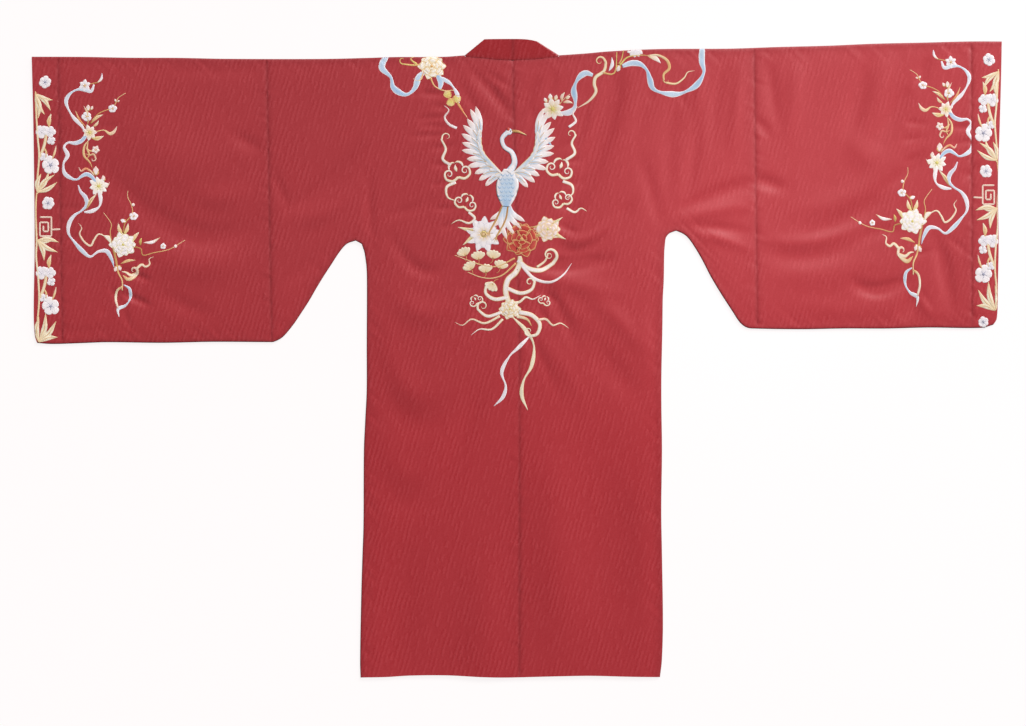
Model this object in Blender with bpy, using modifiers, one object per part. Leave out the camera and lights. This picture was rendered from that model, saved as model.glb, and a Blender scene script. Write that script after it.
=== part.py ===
"""Hanfu robe laid flat on its front, back upwards. Metres, +Z up, +Y towards the collar.

The cut is the traditional one. Each half of the body is one length of cloth that runs from the front hem over the
shoulder to the back hem, with the root of the sleeve in it. A sleeve, a cuff band and half of the collar are sewn
to each half. The halves meet in a seam down the middle of the back, and the front is open from neck to hem.

The front panels lie flat on the surface, and the back panels lie on them with soft folds. Every piece of cloth is a
sheet of outer points, given its wall inwards by Solidify. The origin is under the middle of the robe.
"""

import math
from collections import namedtuple

import bmesh
import bpy
from mathutils import Vector, geometry

# Driving sizes of the laid robe
SPAN = 1.940  # cuff edge to cuff edge
LENGTH = 1.277  # top of the collar to the hem
WALL = 0.0012  # body, sleeve and cuff cloth
COLLAR_WALL = 0.0015  # the collar is doubled and stiffened
SEAM = 0.0003  # gap between two pieces at a seam
LIE = 0.0003  # least gap between the back and the collar band under it
FLAT_TOP = COLLAR_WALL + LIE + WALL  # height of the back where it lies down
EDGE_TOP = 0.0050  # height of the back where the cloth turns under at an edge
ROUND = EDGE_TOP / 2  # radius of that turn
EDGE_ROLL = 0.018  # how far in from an edge the cloth stays lifted
EDGE_FADE = 0.030  # how far in from an edge the folds are full
LOFT = 0.0022  # air under the back between its folds
SOFTEN = 0.0010  # rounds the foot of a trough where it meets the front

TOP_Y = LENGTH / 2  # free edge of the collar
HEM_Y = -LENGTH / 2
OUT_X = SPAN / 2

# Number of sections and rows
TURN_STEPS = 4  # faces round a turned edge
ACROSS_SLEEVE = 18  # rows from the under seam to the shoulder line
ALONG_SLEEVE = 15
ALONG_CUFF = 3
BODY_TO_NECK = 9  # columns from the armhole line to the side of the neck
NECK_TO_CENTRE = 4  # columns from the side of the neck to the centre seam
BODY_ROWS = 34  # rows from below the armpit to the hem
ARMPIT_ROWS = 4  # points of the side seam that round the armpit

Point = namedtuple("Point", "x y")
Fold = namedtuple("Fold", "x1 y1 x2 y2 x3 y3 rise width")
Front = namedtuple("Front", "y seam_out free_out")
Cut = namedtuple("Cut", "sign shoulder under side neck neck_point collar_tip joint cuff_seam cuff_edge")

# Seam down the middle of the back, from neck to hem. The front closes along the same line.
CENTRE = [
    Point(-0.0075, 0.5965),
    Point(-0.0075, 0.5200),
    Point(-0.0045, 0.3800),
    Point(0.0010, 0.1800),
    Point(0.0045, 0.0500),
    Point(0.0045, HEM_Y),
]

# Hem of the back, from the left side to the right
HEM = [
    Point(-0.3125, HEM_Y),
    Point(-0.2605, HEM_Y + 0.0010),
    Point(-0.2125, HEM_Y + 0.0039),
    Point(-0.1405, HEM_Y + 0.0044),
    Point(-0.0685, HEM_Y + 0.0009),
    Point(-0.0205, HEM_Y),
    Point(0.0755, HEM_Y + 0.0023),
    Point(0.1475, HEM_Y + 0.0035),
    Point(0.2195, HEM_Y + 0.0017),
    Point(0.2865, HEM_Y + 0.0007),
]

# The collar on the front: how far its two edges lie from the centre line
COLLAR_FRONT = [
    Front(0.602, 0.0925, 0.0440),
    Front(0.560, 0.0850, 0.0360),
    Front(0.500, 0.0750, 0.0230),
    Front(0.430, 0.0640, 0.0110),
    Front(0.360, 0.0580, 0.0040),
    Front(0.290, 0.0550, 0.0010),
    Front(0.200, 0.0550, 0.0010),
    Front(HEM_Y, 0.0550, 0.0010),
]
NECKLINE_Y = 0.500  # above this the front's seam bends out to the side of the neck

# Each half: its shoulder line runs from the cuff to the neck, its under edge from the cuff to the armpit, and its
# side seam from the armpit to the hem. A seam is given as its top point and its bottom point.
LEFT = Cut(
    sign=-1,
    shoulder=[
        Point(-OUT_X, 0.6032),
        Point(-0.8685, 0.6029),
        Point(-0.7725, 0.6012),
        Point(-0.6765, 0.6009),
        Point(-0.5805, 0.5990),
        Point(-0.3885, 0.5988),
        Point(-0.2925, 0.6010),
        Point(-0.2445, 0.6026),
        Point(-0.1485, 0.6030),
        Point(-0.1040, 0.6060),
    ],
    under=[
        Point(-0.9590, 0.0305),
        Point(-0.9300, 0.0285),
        Point(-0.8765, 0.0300),
        Point(-0.8205, 0.0320),
        Point(-0.7085, 0.0308),
        Point(-0.6105, 0.0328),
        Point(-0.4905, 0.0322),
        Point(-0.4875, 0.0324),
        Point(-0.4790, 0.0355),
        Point(-0.4669, 0.0435),
        Point(-0.4467, 0.0675),
        Point(-0.4305, 0.0915),
        Point(-0.4150, 0.1155),
        Point(-0.4012, 0.1395),
        Point(-0.3866, 0.1635),
        Point(-0.3710, 0.1875),
        Point(-0.3553, 0.2115),
        Point(-0.3405, 0.2284),
        Point(-0.3225, 0.2352),
    ],
    side=[
        Point(-0.3225, 0.2352),
        Point(-0.3105, 0.2292),
        Point(-0.3045, 0.2119),
        Point(-0.3011, 0.1875),
        Point(-0.2998, 0.1600),
        Point(-0.3002, 0.0250),
        Point(-0.3003, -0.0650),
        Point(-0.3032, -0.1245),
        Point(-0.3058, -0.1845),
        Point(-0.3067, -0.3345),
        Point(-0.3087, -0.3945),
        Point(-0.3110, -0.4700),
        Point(-0.3134, -0.6045),
        Point(-0.3125, HEM_Y),
    ],
    neck=[Point(-0.1040, 0.6035), Point(-0.0780, 0.6015), Point(-0.0380, 0.5975), Point(-0.0075, 0.5965)],
    neck_point=Point(-0.1040, 0.6060),
    collar_tip=Point(-0.0650, TOP_Y - 0.0005),
    joint=(Point(-0.5005, 0.5989), Point(-0.4905, 0.0322)),
    cuff_seam=(Point(-0.9180, 0.6030), Point(-0.9090, 0.0290)),
    cuff_edge=[
        Point(-OUT_X, 0.6032),
        Point(-0.9670, 0.4900),
        Point(-0.9650, 0.3600),
        Point(-0.9640, 0.2200),
        Point(-0.9658, 0.0900),
        Point(-0.9636, 0.0440),
        Point(-0.9590, 0.0305),
    ],
)

RIGHT = Cut(
    sign=1,
    shoulder=[
        Point(0.0845, 0.6060),
        Point(0.1395, 0.6099),
        Point(0.1875, 0.6141),
        Point(0.2835, 0.6185),
        Point(0.4275, 0.6194),
        Point(0.5235, 0.6227),
        Point(0.6195, 0.6251),
        Point(0.7155, 0.6292),
        Point(0.8115, 0.6314),
        Point(0.9075, 0.6338),
        Point(OUT_X, 0.6337),
    ],
    under=[
        Point(0.3185, 0.2550),
        Point(0.3335, 0.2485),
        Point(0.3439, 0.2395),
        Point(0.3601, 0.2155),
        Point(0.3737, 0.1915),
        Point(0.3858, 0.1675),
        Point(0.3997, 0.1435),
        Point(0.4146, 0.1195),
        Point(0.4303, 0.0955),
        Point(0.4463, 0.0715),
        Point(0.4610, 0.0610),
        Point(0.4805, 0.0592),
        Point(0.5715, 0.0580),
        Point(0.6555, 0.0595),
        Point(0.7395, 0.0594),
        Point(0.8235, 0.0614),
        Point(0.9300, 0.0608),
        Point(0.9530, 0.0670),
    ],
    side=[
        Point(0.3185, 0.2550),
        Point(0.3035, 0.2496),
        Point(0.2975, 0.2400),
        Point(0.2953, 0.2155),
        Point(0.2941, 0.1555),
        Point(0.2922, 0.1195),
        Point(0.2914, 0.0595),
        Point(0.2894, -0.0345),
        Point(0.2894, -0.0945),
        Point(0.2906, -0.1845),
        Point(0.2891, -0.3045),
        Point(0.2906, -0.3945),
        Point(0.2925, -0.5295),
        Point(0.2903, -0.6045),
        Point(0.2865, HEM_Y + 0.0007),
    ],
    neck=[Point(-0.0075, 0.5965), Point(0.0360, 0.5985), Point(0.0620, 0.6010), Point(0.0845, 0.6035)],
    neck_point=Point(0.0845, 0.6060),
    collar_tip=Point(0.0405, TOP_Y - 0.0045),
    joint=(Point(0.4745, 0.6206), Point(0.4805, 0.0592)),
    cuff_seam=(Point(0.9090, 0.6338), Point(0.9100, 0.0611)),
    cuff_edge=[
        Point(OUT_X, 0.6337),
        Point(0.9680, 0.5475),
        Point(0.9655, 0.4600),
        Point(0.9620, 0.3500),
        Point(0.9635, 0.2275),
        Point(0.9620, 0.1475),
        Point(0.9600, 0.0795),
        Point(0.9530, 0.0670),
    ],
)

# The largest folds of the back: each runs from (x1, y1) by (x2, y2) to (x3, y3). Rise is above the resting
# cloth for a ridge and below it for a trough.
FOLDS = [
    # left sleeve: the cloth hangs in a shallow bow from shoulder to cuff
    Fold(-0.820, 0.390, -0.655, 0.235, -0.500, 0.300, -0.0032, 0.030),
    Fold(-0.800, 0.500, -0.655, 0.400, -0.520, 0.430, 0.0034, 0.055),
    Fold(-0.494, 0.360, -0.440, 0.305, -0.310, 0.430, -0.0028, 0.030),
    Fold(-0.470, 0.260, -0.400, 0.250, -0.300, 0.330, 0.0028, 0.034),
    Fold(-0.790, 0.120, -0.650, 0.110, -0.510, 0.150, 0.0028, 0.040),
    # left of the body: bows between the side seam and the middle
    Fold(-0.290, 0.060, -0.190, -0.140, -0.085, 0.015, -0.0034, 0.034),
    Fold(-0.270, 0.150, -0.195, 0.030, -0.120, 0.120, 0.0034, 0.050),
    Fold(-0.270, -0.200, -0.190, -0.300, -0.100, -0.130, 0.0028, 0.045),
    Fold(-0.160, -0.290, -0.100, -0.180, -0.068, -0.070, -0.0028, 0.030),
    Fold(-0.150, -0.600, -0.140, -0.460, -0.110, -0.330, 0.0028, 0.050),
    # right of the body: the cloth is drawn down from the shoulder and out from the middle
    Fold(0.222, 0.560, 0.180, 0.450, 0.098, 0.320, -0.0034, 0.030),
    Fold(0.245, 0.470, 0.205, 0.380, 0.150, 0.300, 0.0030, 0.034),
    Fold(0.050, 0.180, 0.120, 0.192, 0.200, 0.208, -0.0040, 0.028),
    Fold(0.064, 0.152, 0.120, 0.110, 0.195, 0.050, 0.0038, 0.034),
    Fold(0.150, 0.020, 0.205, -0.030, 0.245, -0.075, -0.0034, 0.036),
    Fold(0.070, -0.130, 0.080, -0.330, 0.095, -0.560, 0.0028, 0.060),
    Fold(0.193, -0.200, 0.200, -0.360, 0.193, -0.530, -0.0028, 0.045),
    # right sleeve: folds fan out from the armpit
    Fold(0.345, 0.300, 0.440, 0.350, 0.570, 0.385, -0.0030, 0.030),
    Fold(0.335, 0.262, 0.450, 0.285, 0.640, 0.300, 0.0030, 0.030),
    Fold(0.370, 0.225, 0.500, 0.210, 0.655, 0.230, -0.0026, 0.030),
    Fold(0.520, 0.180, 0.640, 0.195, 0.760, 0.220, 0.0030, 0.036),
    Fold(0.665, 0.140, 0.720, 0.140, 0.780, 0.160, -0.0032, 0.030),
    Fold(0.640, 0.560, 0.650, 0.480, 0.700, 0.400, 0.0026, 0.050),
]
FOLD_STEPS = 10  # straight bits that stand for one curved fold

SILK_RED = (0.42, 0.035, 0.048, 1.0)
SILK_ROUGHNESS = 0.45


def value_at(table, x):
    """The table's y at x, with a smooth curve through its points, which run in order of x."""
    last = len(table) - 1
    i = next((k for k in range(last) if x <= table[k + 1].x), last - 1)
    a, b = table[i], table[i + 1]
    before = table[max(i - 1, 0)]
    after = table[min(i + 2, last)]
    t = min(max((x - a.x) / (b.x - a.x), 0.0), 1.0)
    slope_a = (b.y - before.y) / (b.x - before.x) * (b.x - a.x)
    slope_b = (after.y - a.y) / (after.x - a.x) * (b.x - a.x)
    return (
        (2 * t**3 - 3 * t**2 + 1) * a.y
        + (t**3 - 2 * t**2 + t) * slope_a
        + (3 * t**2 - 2 * t**3) * b.y
        + (t**3 - t**2) * slope_b
    )


def across_at(table, y):
    """The table's x at y: value_at for an edge that runs up and down the robe."""
    turned = sorted(Point(p.y, p.x) for p in table)
    return value_at(turned, y)


def mix(a, b, t):
    return a + (b - a) * t


def curve_through(start, middle, end, steps):
    """Points of the parabola that passes through the middle point halfway."""
    bend = middle * 2 - (start + end) / 2
    return [
        start * (1 - t) ** 2 + bend * (2 * t * (1 - t)) + end * t**2
        for t in (i / steps for i in range(steps + 1))
    ]


def nearest_on(line, point):
    """(distance to a line of points, share of its length at the nearest place)."""
    best, share = math.inf, 0.0
    for i, (a, b) in enumerate(zip(line, line[1:])):
        foot, t = geometry.intersect_point_line(point, a, b)
        t = min(max(t, 0.0), 1.0)
        away = (point - a.lerp(b, t)).length
        if away < best:
            best, share = away, (i + t) / (len(line) - 1)
    return best, share


def vectors(table):
    return [Vector(p) for p in table]


FOLD_LINES = [
    (fold, curve_through(Vector(fold[0:2]), Vector(fold[2:4]), Vector(fold[4:6]), FOLD_STEPS)) for fold in FOLDS
]
TURNED_EDGES = [vectors(edge) for cut in (LEFT, RIGHT) for edge in (cut.shoulder, cut.under, cut.side)]
NECK_EDGES = [vectors(cut.neck) for cut in (LEFT, RIGHT)]


def fold_rise(point):
    """Sum of the folds at a point. Each fold is a soft ridge that fades towards its ends."""
    total = 0.0
    for fold, line in FOLD_LINES:
        away, share = nearest_on(line, point)
        fade = math.sin(math.pi * (0.08 + 0.84 * share))
        total += fold.rise * fade * math.exp(-((away / fold.width) ** 2))
    return total


def back_height(x, y):
    """Height of the outer face of the back, above the surface that the robe lies on."""
    point = Vector((x, y))
    from_edge = min(nearest_on(edge, point)[0] for edge in TURNED_EDGES)
    from_neck = min(nearest_on(edge, point)[0] for edge in NECK_EDGES)
    lift = max(
        math.exp(-((max(from_edge - ROUND, 0.0) / EDGE_ROLL) ** 2)),
        math.exp(-((from_neck / EDGE_ROLL) ** 2)),
    )
    free = 1 - math.exp(-((min(from_edge, from_neck) / EDGE_FADE) ** 2))
    air = (LOFT + fold_rise(point)) * free
    air = (air + math.sqrt(air**2 + SOFTEN**2)) / 2
    return FLAT_TOP + max((EDGE_TOP - FLAT_TOP) * lift, air * (1 - lift))


def on_back(x, y):
    return Vector((x, y, back_height(x, y)))


def on_front(x, y):
    return Vector((x, y, 0.0))


def inward_normals(edge, inside):
    """Unit normals of a line of plan points, turned towards the inside point."""
    normals = []
    for i, point in enumerate(edge):
        along = edge[min(i + 1, len(edge) - 1)] - edge[max(i - 1, 0)]
        normal = Vector((-along.y, along.x)).normalized()
        normals.append(normal if normal.dot(inside - point) > 0 else -normal)
    return normals


def turn(edge_point, normal):
    """Points round a turned edge, from the back to the front. Its outermost point is the edge point."""
    points = []
    for i in range(TURN_STEPS + 1):
        angle = math.pi * i / TURN_STEPS
        inset = ROUND * (1 - math.sin(angle))
        plan = edge_point + normal * inset
        points.append(Vector((plan.x, plan.y, ROUND * (1 + math.cos(angle)))))
    return points


def along_seam(line):
    """Unit vector up a seam, for a line (top point, bottom point)."""
    return (Vector(line[0]) - Vector(line[1])).normalized()


def plan(point):
    return Vector((point.x, point.y))


def rows_between(top, bottom, count, layer):
    """Points from a bottom plan point to a top one, on the back or the front."""
    return [layer(*bottom.lerp(top, i / count)) for i in range(count + 1)]


def hem_at(x):
    return value_at(HEM, x)


def sheet(name, grids, wall, material):
    """An object whose outer face is these grids of points, welded where they meet, with its wall inside."""
    mesh = bpy.data.meshes.new(name)
    bm = bmesh.new()
    for grid in grids:
        rows = [[bm.verts.new(point) for point in row] for row in grid]
        for low, high in zip(rows, rows[1:]):
            for i in range(len(low) - 1):
                bm.faces.new([low[i], low[i + 1], high[i + 1], high[i]])
    bmesh.ops.remove_doubles(bm, verts=bm.verts, dist=1e-5)
    bmesh.ops.triangulate(bm, faces=bm.faces, quad_method="SHORT_EDGE")
    bmesh.ops.recalc_face_normals(bm, faces=bm.faces)
    highest = max(bm.faces, key=lambda face: face.calc_center_median().z)
    if highest.normal.z < 0:
        bmesh.ops.reverse_faces(bm, faces=bm.faces)
    bm.to_mesh(mesh)
    bm.free()
    mesh.materials.append(material)
    mesh.shade_smooth()
    obj = bpy.data.objects.new(name, mesh)
    solidify = obj.modifiers.new("wall", "SOLIDIFY")
    solidify.thickness = wall
    solidify.offset = -1.0
    solidify.use_even_offset = True
    return obj


def tube_sections(cut, lines, inside):
    """Closed sections of a flattened sleeve: one for each pair (top point, bottom point)."""
    top_normals = inward_normals([top for top, _ in lines], inside)
    low_normals = inward_normals([bottom for _, bottom in lines], inside)
    for end in (0, -1):
        top_normals[end], low_normals[end] = -along_seam(lines[end]), along_seam(lines[end])
    tops = [turn(top, normal) for (top, _), normal in zip(lines, top_normals)]
    bottoms = [turn(bottom, normal) for (_, bottom), normal in zip(lines, low_normals)]
    sections = []
    for top, bottom in zip(tops, bottoms):
        back = rows_between(plan(top[0]), plan(bottom[0]), ACROSS_SLEEVE, on_back)
        front = rows_between(plan(top[-1]), plan(bottom[-1]), ACROSS_SLEEVE, on_front)
        back[0], back[-1], front[0], front[-1] = bottom[0], top[0], bottom[-1], top[-1]
        sections.append(back + top[1:-1] + front[::-1] + bottom[-2::-1])
    return sections


def station(cut, start, end, share):
    """(top point, bottom point) of a sleeve section, at a share of the way between two seams."""
    top_x = mix(start[0].x, end[0].x, share)
    low_x = mix(start[1].x, end[1].x, share)
    return Vector((top_x, value_at(cut.shoulder, top_x))), Vector((low_x, value_at(cut.under, low_x)))


def moved(line, by):
    return tuple(Point(p.x + by, p.y) for p in line)


def sleeve(name, cut, material):
    """Lower sleeve: one cloth folded at the shoulder line and closed along its under side."""
    gap = cut.sign * SEAM / 2
    start, end = moved(cut.joint, gap), moved(cut.cuff_seam, -gap)
    lines = [station(cut, start, end, i / ALONG_SLEEVE) for i in range(ALONG_SLEEVE + 1)]
    inside = (lines[0][0] + lines[-1][1]) / 2
    return sheet(name, [tube_sections(cut, lines, inside)], WALL, material)


def cuff(name, cut, material):
    """Cuff band: a short tube whose outer end follows the cuff edge."""
    gap = cut.sign * SEAM / 2
    start = moved(cut.cuff_seam, gap)
    end = (cut.cuff_edge[0], cut.cuff_edge[-1])
    lines = [station(cut, start, end, i / ALONG_CUFF) for i in range(ALONG_CUFF + 1)]
    sections = tube_sections(cut, lines, (lines[0][0] + lines[-1][1]) / 2)
    for point in sections[-1]:
        point.x = across_at(cut.cuff_edge, point.y)
    return sheet(name, [sections], WALL, material)


def under_stations(cut):
    """Plan points of the sleeve root's under edge, from the joint seam to the armpit."""
    joint_x, armpit_x = cut.joint[1].x, cut.side[0].x
    low, high = sorted((joint_x, armpit_x))
    stations = vectors(p for p in cut.under if low <= p.x <= high)
    stations.sort(key=lambda p: -abs(p.x))
    stations[0].x -= cut.sign * SEAM / 2
    return stations


def side_stations(cut):
    """Plan points of the side seam, from the armpit to the hem."""
    rounding = vectors(cut.side[:ARMPIT_ROWS])
    start = rounding[-1].y
    heights = [mix(start, cut.side[-1].y, i / BODY_ROWS) for i in range(1, BODY_ROWS + 1)]
    return rounding + [Vector((across_at(cut.side, y), y)) for y in heights]


def front_seam_x(cut, y):
    """Where the collar's seam lies on the front at y."""
    out = value_at([Point(row.y, row.seam_out) for row in reversed(COLLAR_FRONT)], y)
    to_neck = min(max((y - NECKLINE_Y) / (cut.neck_point.y - ROUND - NECKLINE_Y), 0.0), 1.0)
    return mix(across_at(CENTRE, y) + cut.sign * out, cut.neck_point.x, to_neck**2)


def front_free_x(cut, y):
    """Where the collar's free edge lies on the front at y."""
    out = value_at([Point(row.y, row.free_out) for row in reversed(COLLAR_FRONT)], y)
    return across_at(CENTRE, y) + cut.sign * out


def neck_stations(cut):
    """Plan points of the back neckline, from beside the neck point to the centre seam."""
    centre_x = CENTRE[0].x + cut.sign * SEAM / 2
    xs = [mix(cut.neck_point.x, centre_x, i / NECK_TO_CENTRE) for i in range(1, NECK_TO_CENTRE + 1)]
    return [Vector((x, value_at(cut.neck, x))) for x in xs]


def front_stations(cut):
    """Heights of the collar's seam on the front, from below the neck point to the hem."""
    top, armpit = cut.neck_point.y - ROUND, cut.side[0].y + ROUND
    upper = [mix(top, armpit, i / ACROSS_SLEEVE) for i in range(1, ACROSS_SLEEVE)]
    return upper + [p.y for p in side_stations(cut)]


def body_half(name, cut, material):
    """Half of the body with the root of its sleeve: front, back and shoulder in one cloth."""
    gap = cut.sign * SEAM / 2
    neck_x = cut.neck_point.x
    under, side = under_stations(cut), side_stations(cut)
    armpit = under[-1]
    roots = len(under) - 1
    joint_top = cut.joint[0].x - gap

    # plan points of the shoulder line, from the joint seam to the side of the neck
    root_x = [mix(joint_top, armpit.x, i / roots) for i in range(roots + 1)]
    neck_side_x = [mix(armpit.x, neck_x, i / BODY_TO_NECK) for i in range(1, BODY_TO_NECK + 1)]
    shoulder = [Vector((x, value_at(cut.shoulder, x))) for x in root_x + neck_side_x]
    shoulder[-1].y = cut.neck_point.y
    inside = Vector((armpit.x, mix(armpit.y, cut.neck_point.y, 0.5)))
    normals = inward_normals(shoulder, inside)
    normals[0], normals[-1] = -along_seam(cut.joint), Vector((0, -1))
    shoulder_turns = [turn(p, n) for p, n in zip(shoulder, normals)]
    edge = under + side[1:]
    normals = inward_normals(edge, Vector((0.0, armpit.y)))
    normals[0] = along_seam(cut.joint)
    for i in range(1, roots + 1):
        normals[i] = normals[i] if normals[i].y > 0 else -normals[i]
    edge_turns = [turn(p, n) for p, n in zip(edge, normals)]

    # columns of the back over the body: shares of the way from the armhole line to the centre seam
    reach = CENTRE[0].x + gap - armpit.x
    shares = [(x - armpit.x) / reach for x in neck_side_x]
    shares += [mix(shares[-1], 1.0, i / NECK_TO_CENTRE) for i in range(1, NECK_TO_CENTRE + 1)]
    neck_edge = [point - Vector((0, SEAM / 2)) for point in neck_stations(cut)]

    def back_row(start):
        """A level row of the back, from the side to the centre seam."""
        end_x = across_at(CENTRE, start.y) + gap
        return [start] + [Vector((mix(start.x, end_x, share), start.y)) for share in shares]

    def front_row(start):
        """A level row of the front, from the side to the collar's seam."""
        end_x = front_seam_x(cut, start.y) + gap
        return [start] + [Vector((mix(start.x, end_x, i / BODY_TO_NECK), start.y)) for i in range(1, BODY_TO_NECK + 1)]

    tops = [plan(t[0]) for t in shoulder_turns]
    lows = [plan(t[0]) for t in edge_turns]
    back_low, front_low = back_row(lows[roots]), front_row(lows[roots])
    back_bottoms = lows[:roots] + back_low
    back_tops = tops + neck_edge
    front_bottoms = lows[:roots] + front_low
    upper_back = [rows_between(t, b, ACROSS_SLEEVE, on_back) for t, b in zip(back_tops, back_bottoms)]
    upper_front = [rows_between(t, b, ACROSS_SLEEVE, on_front) for t, b in zip(tops, front_bottoms)]
    for point in upper_front[-1][1:-1]:
        point.x = front_seam_x(cut, point.y) + gap

    lower_back, lower_front = [], []
    for start in lows[roots:]:
        back, front = back_row(start), front_row(start)
        if start is lows[-1]:
            for point in back + front:
                point.y = hem_at(point.x)
        lower_back.append([on_back(*p) for p in back])
        lower_front.append([on_front(*p) for p in front])
    for turns, rows in ((edge_turns[roots:], lower_back), (edge_turns[roots:], lower_front)):
        for points, row in zip(turns, rows):
            row[0] = points[0] if rows is lower_back else points[-1]
    for i, points in enumerate(edge_turns[: roots + 1]):
        upper_back[i][0], upper_front[i][0] = points[0], points[-1]
    for i, points in enumerate(shoulder_turns):
        upper_back[i][-1], upper_front[i][-1] = points[0], points[-1]

    grids = [
        upper_back,
        [row[::-1] for row in upper_front],
        [row[::-1] for row in lower_back],
        lower_front,
        [points[::-1] for points in edge_turns],
        shoulder_turns,
    ]
    return sheet(name, grids, WALL, material)


def collar_half(name, cut, material):
    """Half of the collar: from the back of the neck to its side, turned under there, then down the front edge."""
    gap = cut.sign * SEAM / 2
    tip = Vector(cut.collar_tip)
    foot = Vector(cut.neck_point)
    slope = (tip - foot).normalized()
    foot += slope * SEAM
    inward = Vector((slope.y, -slope.x)) * -cut.sign
    to_centre = (Vector((CENTRE[0].x, TOP_Y)) - tip).normalized()
    turns = list(zip(turn(foot, inward), turn(tip, to_centre)))

    def section(seam, free):
        return [seam, seam.lerp(free, 0.5), free]

    rows = []
    stations = neck_stations(cut)[::-1]
    for i, seam in enumerate(stations):
        share = i / len(stations)
        free = Vector((mix(stations[0].x, turns[0][1].x, share), mix(TOP_Y, turns[0][1].y, share**3)))
        seam = seam + Vector((0, SEAM / 2))
        rows.append(section(Vector((*seam, EDGE_TOP)), Vector((*free, EDGE_TOP))))
    rows += [section(seam, free) for seam, free in turns]
    for y in front_stations(cut):
        seam = on_front(front_seam_x(cut, y) - gap, y)
        free = on_front(front_free_x(cut, y) + gap, y)
        rows.append(section(seam, free))
    for point in rows[-1]:
        point.y = hem_at(point.x)
    return sheet(name, [rows], COLLAR_WALL, material)


def silk():
    material = bpy.data.materials.new("red_silk")
    material.use_nodes = True
    shader = material.node_tree.nodes["Principled BSDF"]
    shader.inputs["Base Color"].default_value = SILK_RED
    shader.inputs["Roughness"].default_value = SILK_ROUGHNESS
    shader.inputs["Metallic"].default_value = 0.0
    return material


def main():
    for obj in list(bpy.data.objects):
        bpy.data.objects.remove(obj)
    collection = bpy.data.collections.new("hanfu_robe")
    bpy.context.scene.collection.children.link(collection)
    robe = bpy.data.objects.new("hanfu_robe_origin", None)
    collection.objects.link(robe)
    material = silk()
    for side, cut in (("left", LEFT), ("right", RIGHT)):
        pieces = [
            body_half(f"body_{side}", cut, material),
            sleeve(f"sleeve_{side}", cut, material),
            cuff(f"cuff_{side}", cut, material),
            collar_half(f"collar_{side}", cut, material),
        ]
        for piece in pieces:
            collection.objects.link(piece)
            piece.parent = robe


main()
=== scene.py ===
# %% [markdown]
# # A hanfu robe, laid flat with its back upwards
#
# The robe is red silk with a woven pattern, embroidered in silk and gold thread. This lesson dresses a
# plain solid model of it. Each piece of cloth becomes a thin shell with the solid's form and finer folds,
# and the embroidery is laid on the shells. Sizes are in metres, except where a table or a drawing says
# millimetres, with +X across the sleeves, +Y towards the collar and +Z up.

# %% Load the solid model, which is the frame for everything else
import math
from collections import namedtuple

import bpy
import numpy as np
from mathutils.bvhtree import BVHTree
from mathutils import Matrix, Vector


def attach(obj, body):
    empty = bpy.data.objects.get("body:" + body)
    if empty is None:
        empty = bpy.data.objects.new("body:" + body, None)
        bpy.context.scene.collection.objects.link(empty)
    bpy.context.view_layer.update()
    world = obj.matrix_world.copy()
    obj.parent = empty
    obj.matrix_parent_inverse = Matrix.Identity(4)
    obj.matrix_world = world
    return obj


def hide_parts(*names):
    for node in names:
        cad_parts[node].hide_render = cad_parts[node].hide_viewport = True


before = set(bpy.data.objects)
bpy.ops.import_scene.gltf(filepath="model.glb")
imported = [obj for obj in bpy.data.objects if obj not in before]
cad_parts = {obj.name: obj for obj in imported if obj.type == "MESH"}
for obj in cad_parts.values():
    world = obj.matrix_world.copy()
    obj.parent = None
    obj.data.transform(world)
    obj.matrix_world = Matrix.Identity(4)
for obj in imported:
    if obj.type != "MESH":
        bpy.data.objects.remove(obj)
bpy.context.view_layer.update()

print("The solid model's pieces:", sorted(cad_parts))


# %% [markdown]
# ## Small helpers
#
# Dyers and printers write colours as sRGB hex values. Blender's shaders work in linear light, so one
# function turns the one into the other. Another adds a shader node with its settings and links in one line.
# A third puts a mesh, a light or a camera into the scene as an object.

# %% Colours and nodes
def linear(hex_colour):
    """An sRGB hex colour as the linear RGBA that a shader wants."""
    values = [int(hex_colour[i : i + 2], 16) / 255 for i in (1, 3, 5)]
    return [v / 12.92 if v <= 0.04045 else ((v + 0.055) / 1.055) ** 2.4 for v in values] + [1.0]


def plug(tree, node, **inputs):
    """Gives a node its inputs, by socket name or as _number. Another node's output is linked in."""
    for name, value in inputs.items():
        socket = node.inputs[int(name[1:])] if name[0] == "_" else node.inputs[name.replace("_", " ")]
        if isinstance(value, bpy.types.Node):
            value = value.outputs[0]
        if isinstance(value, bpy.types.NodeSocket):
            tree.links.new(value, socket)
        else:
            socket.default_value = value


def add_node(tree, kind, settings=None, **inputs):
    """Adds a node. Settings are its own properties, and its inputs go through plug."""
    node = tree.nodes.new("ShaderNode" + kind)
    for name, value in (settings or {}).items():
        setattr(node, name, value)
    plug(tree, node, **inputs)
    return node


def new_material(name):
    """An empty material, with its node tree and its shader."""
    material = bpy.data.materials.new(name)
    material.use_nodes = True
    return material, material.node_tree, material.node_tree.nodes["Principled BSDF"]


def put_in_scene(name, data):
    """An object in the scene, for a mesh, a light or a camera."""
    thing = bpy.data.objects.new(name, data)
    bpy.context.scene.collection.objects.link(thing)
    return thing


print("Mid grey, #808080, is", round(linear("#808080")[0], 3), "in linear light.")


# %% [markdown]
# ## The cut
#
# Each half of the body is one length of cloth that runs from the front hem over the shoulder to the back
# hem, with the root of the sleeve in it. A lower sleeve, a cuff band and half of the collar band are sewn
# to each half. The tables hold points of each edge as the robe lies, so the shells and the solids have one
# outline.

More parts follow.
